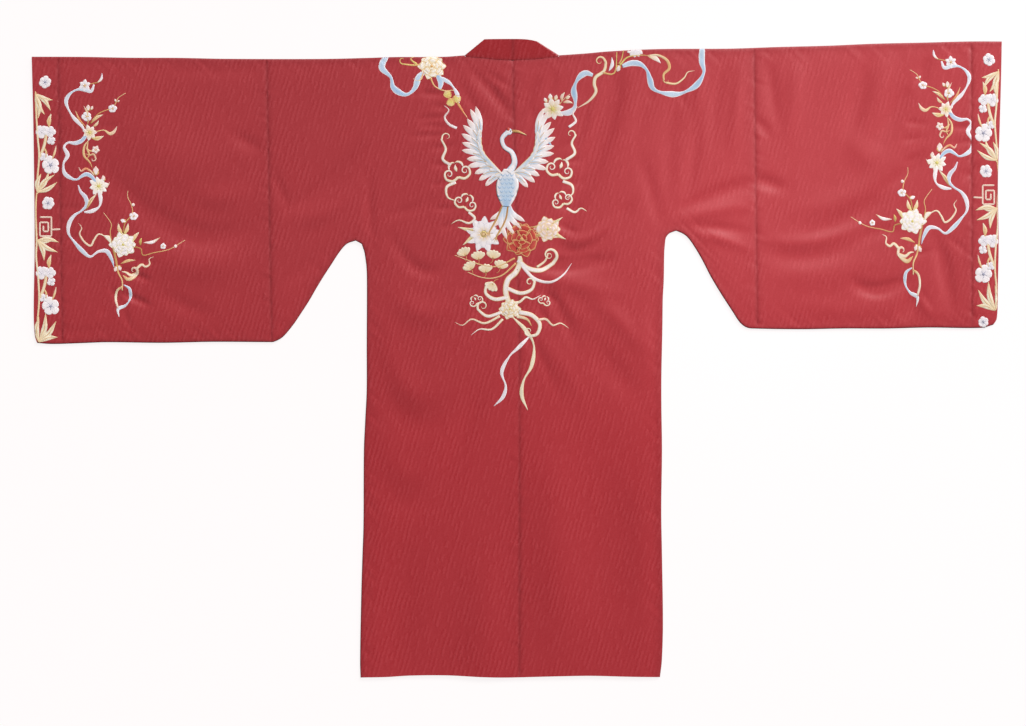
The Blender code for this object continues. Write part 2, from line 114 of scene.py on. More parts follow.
# %% Sizes of the laid robe
SPAN, LENGTH = 1.940, 1.277
CLOTH = 0.0009  # thickness of the shells of silk
COLLAR_CLOTH = 0.0013  # the collar band is doubled and stiffened
LIE_HEIGHT = 0.0030  # top of the back where it lies down on the front
EDGE_HEIGHT = 0.0050  # top of the back where it turns under at an edge
ROUND = EDGE_HEIGHT / 2  # radius of the turned edges
EDGE_ROLL, EDGE_FADE = 0.030, 0.012  # how far in an edge lifts the back, and how far in it keeps folds away
LOFT, SOFTEN = 0.0028, 0.0010  # air under the back between its folds, and how softly a fold touches down
TOP_Y, HEM_Y, OUT_X = LENGTH / 2, -LENGTH / 2, SPAN / 2

# The sign is that of x. A joint is the seam between the sleeve's root and the lower sleeve, from top to
# bottom.
Cut = namedtuple("Cut", "sign shoulder under side neck neck_point collar_tip joint cuff_seam cuff_edge")
print(f"The robe lies {SPAN:.3f} m wide and {LENGTH:.3f} m long.")

# %% Seam down the middle of the back, hem, and front edge, as (x, y) points
CENTRE = [
    (-0.0075, 0.5965), (-0.0075, 0.5200), (-0.0045, 0.3800), (0.0010, 0.1800), (0.0045, 0.0500),
    (0.0045, HEM_Y),
]
COLLAR_X = CENTRE[0][0]  # where the two halves of the collar meet
HEM = [
    (-0.3125, HEM_Y), (-0.2605, HEM_Y + 0.0010), (-0.2125, HEM_Y + 0.0039), (-0.1405, HEM_Y + 0.0044),
    (-0.0685, HEM_Y + 0.0009), (-0.0205, HEM_Y), (0.0755, HEM_Y + 0.0023), (0.1475, HEM_Y + 0.0035),
    (0.2195, HEM_Y + 0.0017), (0.2865, HEM_Y + 0.0007),
]
# (y, how far out the collar's seam lies on the front, how far out its free edge lies)
COLLAR_FRONT = [
    (HEM_Y, 0.0550, 0.0010), (0.200, 0.0550, 0.0010), (0.290, 0.0550, 0.0010), (0.360, 0.0580, 0.0040),
    (0.430, 0.0640, 0.0110), (0.500, 0.0750, 0.0230), (0.560, 0.0850, 0.0360), (0.602, 0.0925, 0.0440),
]
NECKLINE_Y = 0.500  # the front is cut away from here to the neck

# %% Edges of the left half
LEFT = Cut(
    sign=-1,
    shoulder=[
        (-OUT_X, 0.6032), (-0.8685, 0.6029), (-0.7725, 0.6012), (-0.6765, 0.6009), (-0.5805, 0.5990),
        (-0.3885, 0.5988), (-0.2925, 0.6010), (-0.2445, 0.6026), (-0.1485, 0.6030), (-0.1040, 0.6060),
    ],
    under=[
        (-0.9590, 0.0305), (-0.9300, 0.0285), (-0.8765, 0.0300), (-0.8205, 0.0320), (-0.7085, 0.0308),
        (-0.6105, 0.0328), (-0.4905, 0.0322), (-0.4875, 0.0324), (-0.4790, 0.0355), (-0.4669, 0.0435),
        (-0.4467, 0.0675), (-0.4305, 0.0915), (-0.4150, 0.1155), (-0.4012, 0.1395), (-0.3866, 0.1635),
        (-0.3710, 0.1875), (-0.3553, 0.2115), (-0.3405, 0.2284), (-0.3225, 0.2352),
    ],
    side=[
        (-0.3225, 0.2352), (-0.3105, 0.2292), (-0.3045, 0.2119), (-0.3011, 0.1875), (-0.2998, 0.1600),
        (-0.3002, 0.0250), (-0.3003, -0.0650), (-0.3032, -0.1245), (-0.3058, -0.1845), (-0.3067, -0.3345),
        (-0.3087, -0.3945), (-0.3110, -0.4700), (-0.3134, -0.6045), (-0.3125, HEM_Y),
    ],
    neck=[(-0.1040, 0.6035), (-0.0780, 0.6015), (-0.0380, 0.5975), CENTRE[0]],
    neck_point=(-0.1040, 0.6060),
    collar_tip=(-0.0650, TOP_Y - 0.0005),
    joint=((-0.5005, 0.5989), (-0.4905, 0.0322)),
    cuff_seam=((-0.9180, 0.6030), (-0.9090, 0.0290)),
    cuff_edge=[
        (-0.9590, 0.0305), (-0.9636, 0.0440), (-0.9658, 0.0900), (-0.9640, 0.2200), (-0.9650, 0.3600),
        (-0.9670, 0.4900), (-OUT_X, 0.6032),
    ],
)

# %% Edges of the right half
RIGHT = Cut(
    sign=1,
    shoulder=[
        (0.0845, 0.6060), (0.1395, 0.6099), (0.1875, 0.6141), (0.2835, 0.6185), (0.4275, 0.6194),
        (0.5235, 0.6227), (0.6195, 0.6251), (0.7155, 0.6292), (0.8115, 0.6314), (0.9075, 0.6338),
        (OUT_X, 0.6337),
    ],
    under=[
        (0.3185, 0.2550), (0.3335, 0.2485), (0.3439, 0.2395), (0.3601, 0.2155), (0.3737, 0.1915),
        (0.3858, 0.1675), (0.3997, 0.1435), (0.4146, 0.1195), (0.4303, 0.0955), (0.4463, 0.0715),
        (0.4610, 0.0610), (0.4805, 0.0592), (0.5715, 0.0580), (0.6555, 0.0595), (0.7395, 0.0594),
        (0.8235, 0.0614), (0.9300, 0.0608), (0.9530, 0.0670),
    ],
    side=[
        (0.3185, 0.2550), (0.3035, 0.2496), (0.2975, 0.2400), (0.2953, 0.2155), (0.2941, 0.1555),
        (0.2922, 0.1195), (0.2914, 0.0595), (0.2894, -0.0345), (0.2894, -0.0945), (0.2906, -0.1845),
        (0.2891, -0.3045), (0.2906, -0.3945), (0.2925, -0.5295), (0.2903, -0.6045),
        (0.2865, HEM_Y + 0.0007),
    ],
    neck=[CENTRE[0], (0.0360, 0.5985), (0.0620, 0.6010), (0.0845, 0.6035)],
    neck_point=(0.0845, 0.6060),
    collar_tip=(0.0405, TOP_Y - 0.0045),
    joint=((0.4745, 0.6206), (0.4805, 0.0592)),
    cuff_seam=((0.9090, 0.6338), (0.9100, 0.0611)),
    cuff_edge=[
        (0.9530, 0.0670), (0.9600, 0.0795), (0.9620, 0.1475), (0.9635, 0.2275), (0.9620, 0.3500),
        (0.9655, 0.4600), (0.9680, 0.5475), (OUT_X, 0.6337),
    ],
)
CUTS = {"left": LEFT, "right": RIGHT}
ARMPIT_POINTS = 4  # the first points of a side, which go round the armpit


# %% Smooth curves through the tables
def value_at(table, x):
    """The table's second column at x, on a smooth curve through its points. x may be an array."""
    table = np.array(sorted(tuple(point) for point in table))
    x = np.asarray(x, float)
    xs, ys = table[:, 0], table[:, 1]
    after, before = np.r_[1 : len(xs), len(xs) - 1], np.r_[0, 0 : len(xs) - 1]
    slope = (ys[after] - ys[before]) / (xs[after] - xs[before])
    i = np.clip(np.searchsorted(xs, x) - 1, 0, len(xs) - 2)
    width = xs[i + 1] - xs[i]
    t = np.clip((x - xs[i]) / width, 0, 1)
    start, end = 2 * t**3 - 3 * t**2 + 1, 3 * t**2 - 2 * t**3
    return (
        start * ys[i]
        + (t**3 - 2 * t**2 + t) * slope[i] * width
        + end * ys[i + 1]
        + (t**3 - t**2) * slope[i + 1] * width
    )


def across_at(table, y):
    """The table's first column at y, for an edge that runs up and down the robe."""
    return value_at([(b, a) for a, b in table], y)


def smooth_line(table, step=0.004, upright=False):
    """Close points along a table's smooth curve, as an array of (x, y)."""
    table = np.array(table)
    column = 1 if upright else 0
    low, high = table[:, column].min(), table[:, column].max()
    at = np.linspace(low, high, max(2, int((high - low) / step)))
    return np.stack([across_at(table, at), at] if upright else [at, value_at(table, at)], axis=1)


def unit(v):
    """Vectors of length one, along these."""
    return v / np.linalg.norm(v, axis=-1, keepdims=True)


print("The left side seam runs from", smooth_line(LEFT.side, upright=True)[-1].round(3), "down to the hem.")

# %% [markdown]
# ## How the cloth lies
#
# The front lies flat on the surface. The back lies on it, with a little air between its folds, and is
# lifted where it turns under at an edge. Each fold is a row in a table, in millimetres: a curve through
# three points, how far it rises or sinks, and how wide it is. Cloth simulation would drape the robe in its
# own way, so the folds are listed one by one. Narrow rows with small rises make the drag lines that
# embroidery and seams pull into silk.

# %% Folds of the left half
Fold = namedtuple("Fold", "x1 y1 x2 y2 x3 y3 rise width")
LEFT_FOLDS = [
    # left sleeve: the cloth hangs in a shallow bow from cuff to armhole
    (-826, 376, -662, 250, -520, 272, -3, 24),
    (-780, 500, -665, 392, -550, 470, 3.2, 60),
    (-740, 200, -640, 186, -540, 196, 2.4, 32),
    (-567, 448, -540, 432, -512, 418, -1.7, 14),
    (-710, 130, -665, 105, -610, 85, -1.4, 16),
    (-930, 62, -880, 48, -800, 52, -1.6, 12),
    (-700, 580, -600, 580, -500, 578, -1.6, 14),
    (-640, 330, -590, 320, -530, 340, 1.8, 22),
    # left of the body
    (-452, 298, -388, 342, -318, 417, -2.6, 16),
    (-486, 372, -472, 334, -456, 304, -1.2, 10),
    (-352, 232, -392, 198, -456, 150, -2.4, 16),
    (-430, 280, -380, 290, -320, 340, 1.8, 18),
    (-294, 370, -294, 290, -290, 200, -1.4, 10),
    (-250, 240, -188, 174, -134, 200, -2, 13),
    (-240, 130, -185, 90, -130, 120, 2.2, 26),
    (-290, 10, -200, -132, -80, -22, -1.5, 30),
    (-275, 60, -200, -70, -110, 20, 1.6, 30),
    (-290, -190, -200, -290, -86, -104, -1.1, 30),
    (-275, -160, -195, -230, -115, -90, 1, 28),
    (-155, -240, -105, -150, -72, -80, -1.6, 20),
    (-70, -660, -66, -520, -60, -380, 3, 44),
    (-240, -640, -236, -500, -215, -370, -2.4, 40),
    (-160, 330, -200, 300, -260, 290, -1, 12),
]

# %% Folds at the neck and of the right half
RIGHT_FOLDS = [
    # neck: drag lines from the collar to the middle seam
    (-96, 582, -52, 536, -12, 482, -2.6, 11),
    (-70, 584, -44, 562, -10, 540, -1.6, 8),
    (-112, 552, -88, 508, -64, 480, -1.2, 9),
    (48, 572, 24, 526, 2, 478, -1.6, 11),
    (-40, 520, -30, 545, -22, 572, 1.2, 9),
    (75, 575, 70, 545, 58, 520, -1, 8),
    # right of the body: drawn down from the shoulder and round the embroidery
    (200, 584, 176, 462, 108, 292, -3.4, 19),
    (232, 560, 212, 450, 160, 330, 0.8, 22),
    (144, 528, 132, 470, 118, 420, -1.2, 10),
    (250, 398, 272, 325, 290, 250, -1.4, 14),
    (262, 570, 250, 490, 236, 430, -0.6, 12),
    (126, 320, 104, 276, 86, 248, -1.6, 12),
    (80, 228, 132, 216, 190, 258, -2, 12),
    (186, 256, 210, 282, 230, 312, -1.4, 12),
    (90, 248, 140, 238, 205, 286, 1.6, 10),
    (46, 184, 104, 186, 184, 196, -4.6, 14),
    (60, 160, 124, 146, 205, 130, 1.8, 18),
    (46, 158, 82, 104, 122, 18, -1.6, 12),
    (58, 142, 112, 88, 176, 4, 1.1, 20),
    (98, 90, 168, 16, 244, -74, -1.3, 20),
    (150, 120, 210, 70, 262, 0, 1.6, 18),
    (26, 46, 52, -6, 80, -76, -0.8, 10),
    (40, 40, 88, -10, 136, -98, 1, 18),
    (140, 8, 190, -34, 242, -80, -1, 22),
    (250, 90, 262, 40, 270, -30, 1.4, 16),
    (178, -210, 186, -360, 180, -540, -2.6, 44),
    (70, -170, 76, -360, 92, -600, 3, 44),
    (250, -260, 262, -420, 250, -600, 0.8, 26),
    # right shoulder and armpit: folds fan out from the armpit
    (328, 292, 395, 326, 476, 352, -2.8, 14),
    (325, 276, 400, 296, 476, 306, 1.3, 13),
    (322, 258, 390, 262, 470, 250, -1.4, 9),
    (330, 246, 400, 240, 470, 216, 1.4, 10),
    (308, 290, 305, 420, 324, 560, -1.1, 15),
    (334, 310, 352, 390, 362, 480, -1.4, 13),
    (420, 590, 400, 520, 390, 430, -1.2, 12),
    (372, 590, 366, 540, 358, 490, 1.2, 11),
    (452, 590, 440, 500, 432, 420, 1.4, 12),
    # right sleeve: the folds go on from the armpit to the embroidery
    (478, 356, 502, 350, 534, 340, -2.2, 13),
    (476, 474, 490, 464, 506, 440, -1.3, 10),
    (590, 252, 676, 284, 754, 346, -1.9, 20),
    (560, 300, 660, 320, 740, 385, 1.4, 22),
    (738, 342, 780, 372, 815, 400, -1.8, 12),
    (495, 212, 590, 200, 690, 238, -1.6, 19),
    (500, 236, 600, 236, 690, 274, 1.5, 14),
    (686, 236, 728, 254, 765, 254, -1.2, 13),
    (520, 170, 630, 172, 760, 204, 1.4, 30),
    (676, 150, 728, 136, 784, 164, -3.6, 13),
    (560, 110, 640, 92, 720, 96, 1, 22),
    (740, 46, 776, 76, 794, 130, -4.8, 17),
    (804, 124, 824, 96, 850, 66, 1.4, 14),
    (840, 236, 856, 176, 868, 94, -2.8, 14),
    (892, 356, 908, 372, 926, 388, -1.6, 9),
    (786, 540, 760, 500, 730, 440, -1.8, 16),
    (742, 600, 722, 530, 690, 440, 1.5, 20),
    (700, 590, 680, 510, 655, 430, -1.4, 18),
    (660, 460, 690, 410, 740, 400, 1.3, 24),
    (505, 600, 510, 540, 520, 470, -1.6, 13),
    (560, 590, 556, 530, 545, 440, 1.4, 18),
    (830, 600, 812, 575, 806, 545, -1.8, 12),
]

# %% Drag lines beside the embroidery
# Dense stitching shrinks the silk under it, so short drag lines run out from its edge, at an angle from +X.
Drag = namedtuple("Drag", "x y angle length rise")
DRAGS = [
    # left of the middle motif, from the neck downwards
    (-150, 528, 178, 45, -1.4),
    (-138, 500, 172, 30, -0.9),
    (-146, 482, 184, 52, -1.1),
    (-148, 463, 176, 44, -1),
    (-140, 447, 183, 72, -1.1),
    (-132, 424, 188, 40, -0.9),
    (-138, 385, 176, 30, -1),
    (-136, 352, 190, 36, -0.9),
    (-130, 300, 182, 36, -1),
    (-122, 268, 195, 30, -0.9),
    (-110, 215, 205, 34, -0.8),
    (-85, 150, 215, 36, -1),
    (-62, 100, 205, 30, -0.9),
    # right of it
    (104, 346, 20, 36, -1.1),
    (92, 302, -8, 36, -1),
    (86, 268, -28, 36, -1.2),
    (100, 392, 12, 30, -0.9),
    (92, 420, 30, 32, -0.9),
    (30, 470, 80, 32, -1.1),
    (48, 132, -30, 40, -1.3),
    (44, 100, -58, 44, -1.2),
    (20, 60, -80, 50, -1.1),
    (-30, 50, -100, 52, -1.1),
    # under the shoulder garlands
    (-178, 560, -110, 30, -1.2),
    (-205, 546, -96, 26, -0.8),
    (-248, 556, -130, 26, -0.8),
    (196, 548, -84, 30, -1),
    (270, 535, -96, 26, -0.8),
    (330, 532, -80, 30, -0.8),
    # left sleeve's spray
    (-778, 172, -20, 46, -2.2),
    (-782, 127, -24, 50, -2.5),
    (-806, 132, -55, 22, -1.6),
    (-760, 196, -6, 36, -0.9),
    (-812, 118, 235, 40, -1),
    (-784, 94, -75, 40, -1.1),
    (-842, 176, 228, 40, -0.9),
    (-868, 200, 215, 36, -0.9),
    (-902, 235, 20, 30, -1),
    (-902, 300, 4, 26, -0.8),
    (-830, 462, 8, 30, -0.7),
    # right sleeve's spray
    (822, 214, 200, 30, -0.9),
    (812, 130, -60, 40, -1),
    (776, 150, 190, 34, -1.2),
    (800, 440, 188, 28, -0.8),
    (806, 404, 205, 34, -0.9),
    (808, 470, 176, 28, -0.8),
    (884, 430, 10, 26, -0.9),
    (878, 462, 0, 30, -1),
    (870, 236, -40, 36, -0.9),
]
DRAG_WIDTH, DRAG_INSET = 6.5, 12  # and how far under the stitches a drag line starts
drag_folds = []
for drag in (Drag(*row) for row in DRAGS):
    way_x, way_y = math.cos(math.radians(drag.angle)), math.sin(math.radians(drag.angle))
    line = [(drag.x + way_x * s, drag.y + way_y * s) for s in (-DRAG_INSET, drag.length / 2, drag.length)]
    drag_folds.append((*line[0], *line[1], *line[2], drag.rise, DRAG_WIDTH))
FOLDS = [Fold(*(value / 1000 for value in row)) for row in LEFT_FOLDS + RIGHT_FOLDS + drag_folds]
print(len(FOLDS), "folds and drag lines")

# %% How far all the folds lift the back
FOLD_STEPS = 12
FOLD_END = 0.08  # a fold's ends are this share of the way into its fade, so they aren't quite flat
FOLD_DEPTH = 1.30  # all folds together are this many times as deep as their rows say


def curve_through(start, middle, end, steps):
    """Points of the parabola that passes through the middle point halfway."""
    start, middle, end = (np.array(p, float) for p in (start, middle, end))
    bend = middle * 2 - (start + end) / 2
    t = np.linspace(0, 1, steps + 1)[:, None]
    return start * (1 - t) ** 2 + bend * 2 * t * (1 - t) + end * t**2


CHUNK = 4000  # points that are measured at once, to save memory


def nearest_on(line, points):
    """(distance to a line of points, share of its length at the nearest place), for an array of points."""
    start, along = line[:-1], np.diff(line, axis=0)
    squared = np.maximum((along**2).sum(1), 1e-18)
    best, share = np.empty(len(points)), np.empty(len(points))
    for k in range(0, len(points), CHUNK):
        p = points[k : k + CHUNK, None, :] - start[None]
        t = np.clip((p * along).sum(2) / squared, 0, 1)
        away = np.linalg.norm(p - t[..., None] * along, axis=2)
        i = away.argmin(1)
        rows = np.arange(len(i))
        best[k : k + CHUNK] = away[rows, i]
        share[k : k + CHUNK] = (i + t[rows, i]) / len(along)
    return best, share


def fold_rise(points):
    """Sum of the folds at each point. Each is a soft ridge or trough that fades towards its ends."""
    total = np.zeros(len(points))
    for fold in FOLDS:
        line = curve_through(fold[0:2], fold[2:4], fold[4:6], FOLD_STEPS)
        reach = 3 * fold.width
        near = ((points > line.min(0) - reach) & (points < line.max(0) + reach)).all(1)
        away, share = nearest_on(line, points[near])
        fade = np.sin(np.pi * (FOLD_END + (1 - 2 * FOLD_END) * share))
        total[near] += fold.rise * fade * np.exp(-((away / fold.width) ** 2))
    return FOLD_DEPTH * total


print("The deepest fold sinks", round(-FOLD_DEPTH * min(fold.rise for fold in FOLDS), 4), "m.")

# %% [markdown]
# ## Seams pull the cloth in
#
# A seam's stitches are a little tighter than the silk, so the cloth dips along the seam and ripples beside
# it. The ripples come from a few sine waves of unlike lengths, so that no two are the same, and they fade a
# finger's width from the seam.

# %% Dips and ripples beside the seams
Seam = namedtuple("Seam", "line dip ripple reach")
SEAMS = [Seam(smooth_line(CENTRE, 0.01, True), 0.0007, 0.00045, 0.020)]
for cut in CUTS.values():
    SEAMS.append(Seam(np.array(cut.joint), 0.0008, 0.00055, 0.018))
    SEAMS.append(Seam(np.array(cut.cuff_seam), 0.0008, 0.00055, 0.015))
    SEAMS.append(Seam(smooth_line(cut.neck, 0.01), 0.0005, 0.00030, 0.014))
SEAMS.append(Seam(np.array([CENTRE[0], (COLLAR_X, TOP_Y)]), 0.0, 0.0, 0.010))  # the collar's own, flat seam
DIP_WIDTH = 0.0038
RIPPLES = [(0.0160, 0.0), (0.0230, 1.3), (0.0370, 2.1), (0.0610, 0.7)]  # (length of the wave, phase)
CALM_LENGTH, CALM_MEAN, CALM_SWING = 0.170, 0.75, 0.45  # the slow wave that makes some stretches calm
RIPPLE_LEAN, OTHER_SIDE = 0.35, 0.8  # slant of the ripples, and their shift on the seam's other side
print(len(SEAMS), "seams")


def ripple(along, shift):
    """Uneven waves along a seam, about from -1 to 1."""
    waves = sum(np.sin(2 * np.pi * along / length + phase + shift) for length, phase in RIPPLES)
    calm = CALM_MEAN + CALM_SWING * np.sin(2 * np.pi * along / CALM_LENGTH + 2 * shift)
    return waves / len(RIPPLES) * calm


def seam_relief(points):
    """How far the seams pull the back down, and how far it ripples beside them."""
    total = np.zeros(len(points))
    for number, seam in enumerate(SEAMS):
        away = nearest_on(seam.line, points)[0]
        near = away < 3 * seam.reach
        start = seam.line[0]
        tangent = unit(seam.line[-1] - start)
        offset = points[near] - start
        side = np.sign(offset[:, 0] * tangent[1] - offset[:, 1] * tangent[0])
        lean = RIPPLE_LEAN * away[near]
        waves = ripple(offset @ tangent + lean * side, number + OTHER_SIDE * side)
        total[near] += seam.ripple * waves * np.exp(-((away[near] / seam.reach) ** 2))
        total[near] -= seam.dip * np.exp(-((away[near] / DIP_WIDTH) ** 2))
    return total


# %% Height of the back over the surface it lies on
EDGE_LINES = [
    smooth_line(table, 0.01, upright)
    for cut in CUTS.values()
    for table, upright in ((cut.shoulder, False), (cut.under, False), (cut.side, True))
]
NECK_LINES = [smooth_line(cut.neck, 0.01) for cut in CUTS.values()]
EDGE_RIPPLE, EDGE_REACH, EDGE_SHIFT = 0.0006, 0.010, 1.7
LOWEST = 0.0020  # the back never sinks further than this, so it stays clear of the front


def edge_relief(points, from_edge):
    """Ripples just inside the turned edges. They are nothing at the edge itself."""
    rise = (from_edge / EDGE_REACH) * np.exp(1 - from_edge / EDGE_REACH)
    return EDGE_RIPPLE * ripple(points.sum(1), EDGE_SHIFT) * rise


def back_height(points):
    """Height of the outer face of the back at each (x, y)."""
    points = np.asarray(points, float).reshape(-1, 2)
    from_edge = np.min([nearest_on(line, points)[0] for line in EDGE_LINES], axis=0)
    from_neck = np.min([nearest_on(line, points)[0] for line in NECK_LINES], axis=0)
    near_edge, near_neck = np.maximum(from_edge - ROUND, 0) / EDGE_ROLL, from_neck / EDGE_ROLL
    lift = np.maximum(np.exp(-(near_edge**2)), np.exp(-(near_neck**2)))
    free = 1 - np.exp(-((np.minimum(from_edge, from_neck) / EDGE_FADE) ** 2))
    air = (LOFT + fold_rise(points)) * free
    air = (air + np.sqrt(air**2 + SOFTEN**2)) / 2
    height = LIE_HEIGHT + (EDGE_HEIGHT - LIE_HEIGHT) * lift + air * (1 - lift)
    return np.maximum(height + seam_relief(points) + edge_relief(points, from_edge), LOWEST)


print("In the middle of the left sleeve the back lies", back_height([(-0.7, 0.3)]).round(4), "m up.")


# %% [markdown]
# ## Shells of cloth
#
# A shell is made as an open surface first: a grid of points for the back, one for the front, and a few rows
# that round each turned edge. The grids share their border points, so merging by distance sews them into
# one surface. A Solidify modifier then gives the cloth its wall, inwards. A tailor's seam pulls its edges
# down, so grid lines stand closer beside each seam to hold that groove.

# %% Turned edges and grids
TURN_STEPS = 6
SEAM_SHADE, SEAM_WIDTH = 0.30, 0.0032  # painted shade along a seam, and how far from it it reaches
SEAM_SIDE_SHADE, SEAM_SIDE_REACH = 0.20, 0.0100  # weaker painted shade beside a seam, and how far from it it fades
EDGE_SHADE, EDGE_SHADE_FADE = 0.56, 0.0060  # painted shade along the turned edges, where they turn away from the light, and how far in it fades
COLLAR_DARKENING = 0.36  # the collar band is darker all over
BESIDE_SEAM = np.array([0.0012, 0.0030, 0.0060])  # extra grid lines stand this far from a seam
ROOM_FOR_LINE = 0.8  # but only within this share of the first ordinary step
WELD = 2e5  # points are one where they agree to a two hundred thousandth of a metre


def inward_normals(edge, towards):
    """Unit normals of a line of plan points, on the side that towards points to (an array of vectors)."""
    along = np.gradient(edge, axis=0)
    normal = unit(np.stack([-along[:, 1], along[:, 0]], 1))
    side = np.sign((normal * towards).sum(1))
    return normal * np.where(side == 0, 1, side)[:, None]


def turn(edge, normals):
    """Points round a turned edge, from the back to the front: an array [edge point, step, xyz]."""
    angle = np.pi * np.arange(TURN_STEPS + 1) / TURN_STEPS
    plan = edge[:, None] + normals[:, None] * (ROUND * (1 - np.sin(angle)))[None, :, None]
    height = np.broadcast_to(ROUND * (1 + np.cos(angle)), plan.shape[:2])
    return np.concatenate([plan, height[..., None]], 2)


def spread(start, end, count, seam_at_start=False, seam_at_end=False):
    """Positions from start to end, evenly apart, with extra ones beside a seam."""
    at = np.linspace(start, end, count + 1)
    way = np.sign(end - start)
    step = abs(end - start) / count
    extra = BESIDE_SEAM[BESIDE_SEAM < ROOM_FOR_LINE * step]
    if seam_at_start:
        at = np.r_[at[0], at[0] + way * extra, at[1:]]
    if seam_at_end:
        at = np.r_[at[:-1], (at[-1] - way * extra)[::-1], at[-1]]
    return at


def between(tops, bottoms, count):
    """A plan grid [line, row, xy] of rows from bottom points to top points."""
    t = np.linspace(0, 1, count + 1)[None, :, None]
    return bottoms[:, None] * (1 - t) + tops[:, None] * t


def on_back(plan):
    """Plan points lifted to the back of the robe."""
    return np.concatenate([plan, back_height(plan.reshape(-1, 2)).reshape(plan.shape[:-1] + (1,))], -1)


def on_front(plan):
    """Plan points on the front, which lies flat on the floor."""
    return np.concatenate([plan, np.zeros(plan.shape[:-1] + (1,))], -1)


def weld(grids):
    """The points and faces of some grids, merged where they meet."""
    points, faces, first = [], [], 0
    for grid in grids:
        rows, columns = grid.shape[:2]
        index = first + np.arange(rows * columns).reshape(rows, columns)
        quads = np.stack([index[:-1, :-1], index[:-1, 1:], index[1:, 1:], index[1:, :-1]], -1)
        points.append(grid.reshape(-1, 3))
        faces.append(quads.reshape(-1, 4))
        first += rows * columns
    points, faces = np.concatenate(points), np.concatenate(faces)
    _, kept, index = np.unique((points * WELD).round(), axis=0, return_index=True, return_inverse=True)
    return points[kept], index.reshape(-1)[faces]


def shade_and_collar_tone_at(plan, press):
    """Painted shade at seams and turned edges at each (x, y), with an even darkening added all over."""
    to_seam = np.min([nearest_on(seam.line, plan)[0] for seam in SEAMS], axis=0)
    to_edge = np.min([nearest_on(line, plan)[0] for line in EDGE_LINES], axis=0)
    at_seam = SEAM_SHADE * np.exp(-((to_seam / SEAM_WIDTH) ** 2))
    at_seam = at_seam + SEAM_SIDE_SHADE * np.exp(-to_seam / SEAM_SIDE_REACH)
    return np.maximum(at_seam + press, EDGE_SHADE * np.exp(-to_edge / EDGE_SHADE_FADE))


def make_shell(name, grids, wall, press=0.0):
    """An object whose outer face is these grids, with its wall inside, and darkened all over by at least this
    much.
    """
    points, faces = weld(grids)
    mesh = bpy.data.meshes.new(name)
    mesh.from_pydata(points.tolist(), [], faces.tolist())
    piece = put_in_scene(name, mesh)
    bpy.context.view_layer.objects.active = piece
    bpy.ops.object.mode_set(mode="EDIT")
    bpy.ops.mesh.select_all(action="SELECT")
    bpy.ops.mesh.normals_make_consistent(inside=False)
    bpy.ops.object.mode_set(mode="OBJECT")
    highest = max(mesh.polygons, key=lambda face: face.center.z)
    if highest.normal.z < 0:
        mesh.flip_normals()
    mesh.shade_smooth()
    uses = np.bincount([loop.edge_index for loop in mesh.loops], minlength=len(mesh.edges))
    mesh.attributes.new("sharp_edge", "BOOLEAN", "EDGE").data.foreach_set("value", uses == 1)
    # painted shade at seams and turned edges, with the collar's darkening, as an attribute of the points
    pressed = shade_and_collar_tone_at(points[:, :2], press).astype(np.float32)
    mesh.attributes.new("pressed", "FLOAT", "POINT").data.foreach_set("value", pressed)
    solid = piece.modifiers.new("cloth", "SOLIDIFY")
    solid.thickness, solid.offset, solid.use_even_offset = wall, -1.0, True
    area = sum(face.area for face in mesh.polygons)
    print(f"{name}: {len(mesh.polygons)} faces before it has a wall, {area:.3f} square metres of cloth")
    return piece


# %% Sleeves and cuffs are flattened tubes
ACROSS_SLEEVE, ACROSS_FRONT = 140, 24  # rows of the back, and of the front, which lies flat
SLEEVE_COLUMNS, CUFF_COLUMNS = 100, 12


def tube(name, cut, top_x, low_x, edge=None):
    """A flattened tube between two lines across the sleeve, given as the x of their top and bottom points."""
    tops = np.stack([top_x, value_at(cut.shoulder, top_x)], 1)
    lows = np.stack([low_x, value_at(cut.under, low_x)], 1)
    down = lows - tops
    top_normals, low_normals = inward_normals(tops, down), inward_normals(lows, -down)
    for end in (0, -1):
        top_normals[end], low_normals[end] = unit(down[end]), -unit(down[end])
    top_turn, low_turn = turn(tops, top_normals), turn(lows, low_normals)
    back = on_back(between(top_turn[:, 0, :2], low_turn[:, 0, :2], ACROSS_SLEEVE))
    front = on_front(between(top_turn[:, -1, :2], low_turn[:, -1, :2], ACROSS_FRONT))
    back[:, 0], back[:, -1] = low_turn[:, 0], top_turn[:, 0]
    front[:, 0], front[:, -1] = low_turn[:, -1], top_turn[:, -1]
    grids = [back, front, top_turn, low_turn]
    if edge is not None:
        for grid in grids:
            grid[-1, :, 0] = across_at(edge, grid[-1, :, 1])
    return make_shell(name, grids, CLOTH)


def low_points(top_x, start, end):
    """The x of the bottom points from start to end, spread as the top ones are."""
    return start + (top_x - top_x[0]) / (top_x[-1] - top_x[0]) * (end - start)


def sleeve(name, cut):
    """The lower sleeve, from the joint to the cuff's seam."""
    (joint_top, _), (joint_low, _) = cut.joint
    (seam_top, _), (seam_low, _) = cut.cuff_seam
    top_x = spread(joint_top, seam_top, SLEEVE_COLUMNS, True, True)
    return tube(name, cut, top_x, low_points(top_x, joint_low, seam_low))


def cuff(name, cut):
    """The cuff band, from its seam to its edge."""
    (seam_top, _), (seam_low, _) = cut.cuff_seam
    top_x = spread(seam_top, cut.cuff_edge[-1][0], CUFF_COLUMNS, True)
    return tube(name, cut, top_x, low_points(top_x, seam_low, cut.cuff_edge[0][0]), cut.cuff_edge)


pieces = {}
for side, cut in CUTS.items():
    pieces["sleeve_" + side] = sleeve("sleeve_cloth_" + side, cut)
    pieces["cuff_" + side] = cuff("cuff_cloth_" + side, cut)

# %% Lines that the body and the collar share
ROOT_COLUMNS, BODY_COLUMNS, NECK_COLUMNS = 44, 44, 18  # columns of the sleeve's root, the side and the neck
BODY_ROWS, BODY_UP_ROWS = 190, 104  # rows below the armpit, and above it
ARMPIT_STEPS, ARMPIT_FINE = 8, 40
HEM_FADE = 0.040  # rows this near the hem follow its uneven line


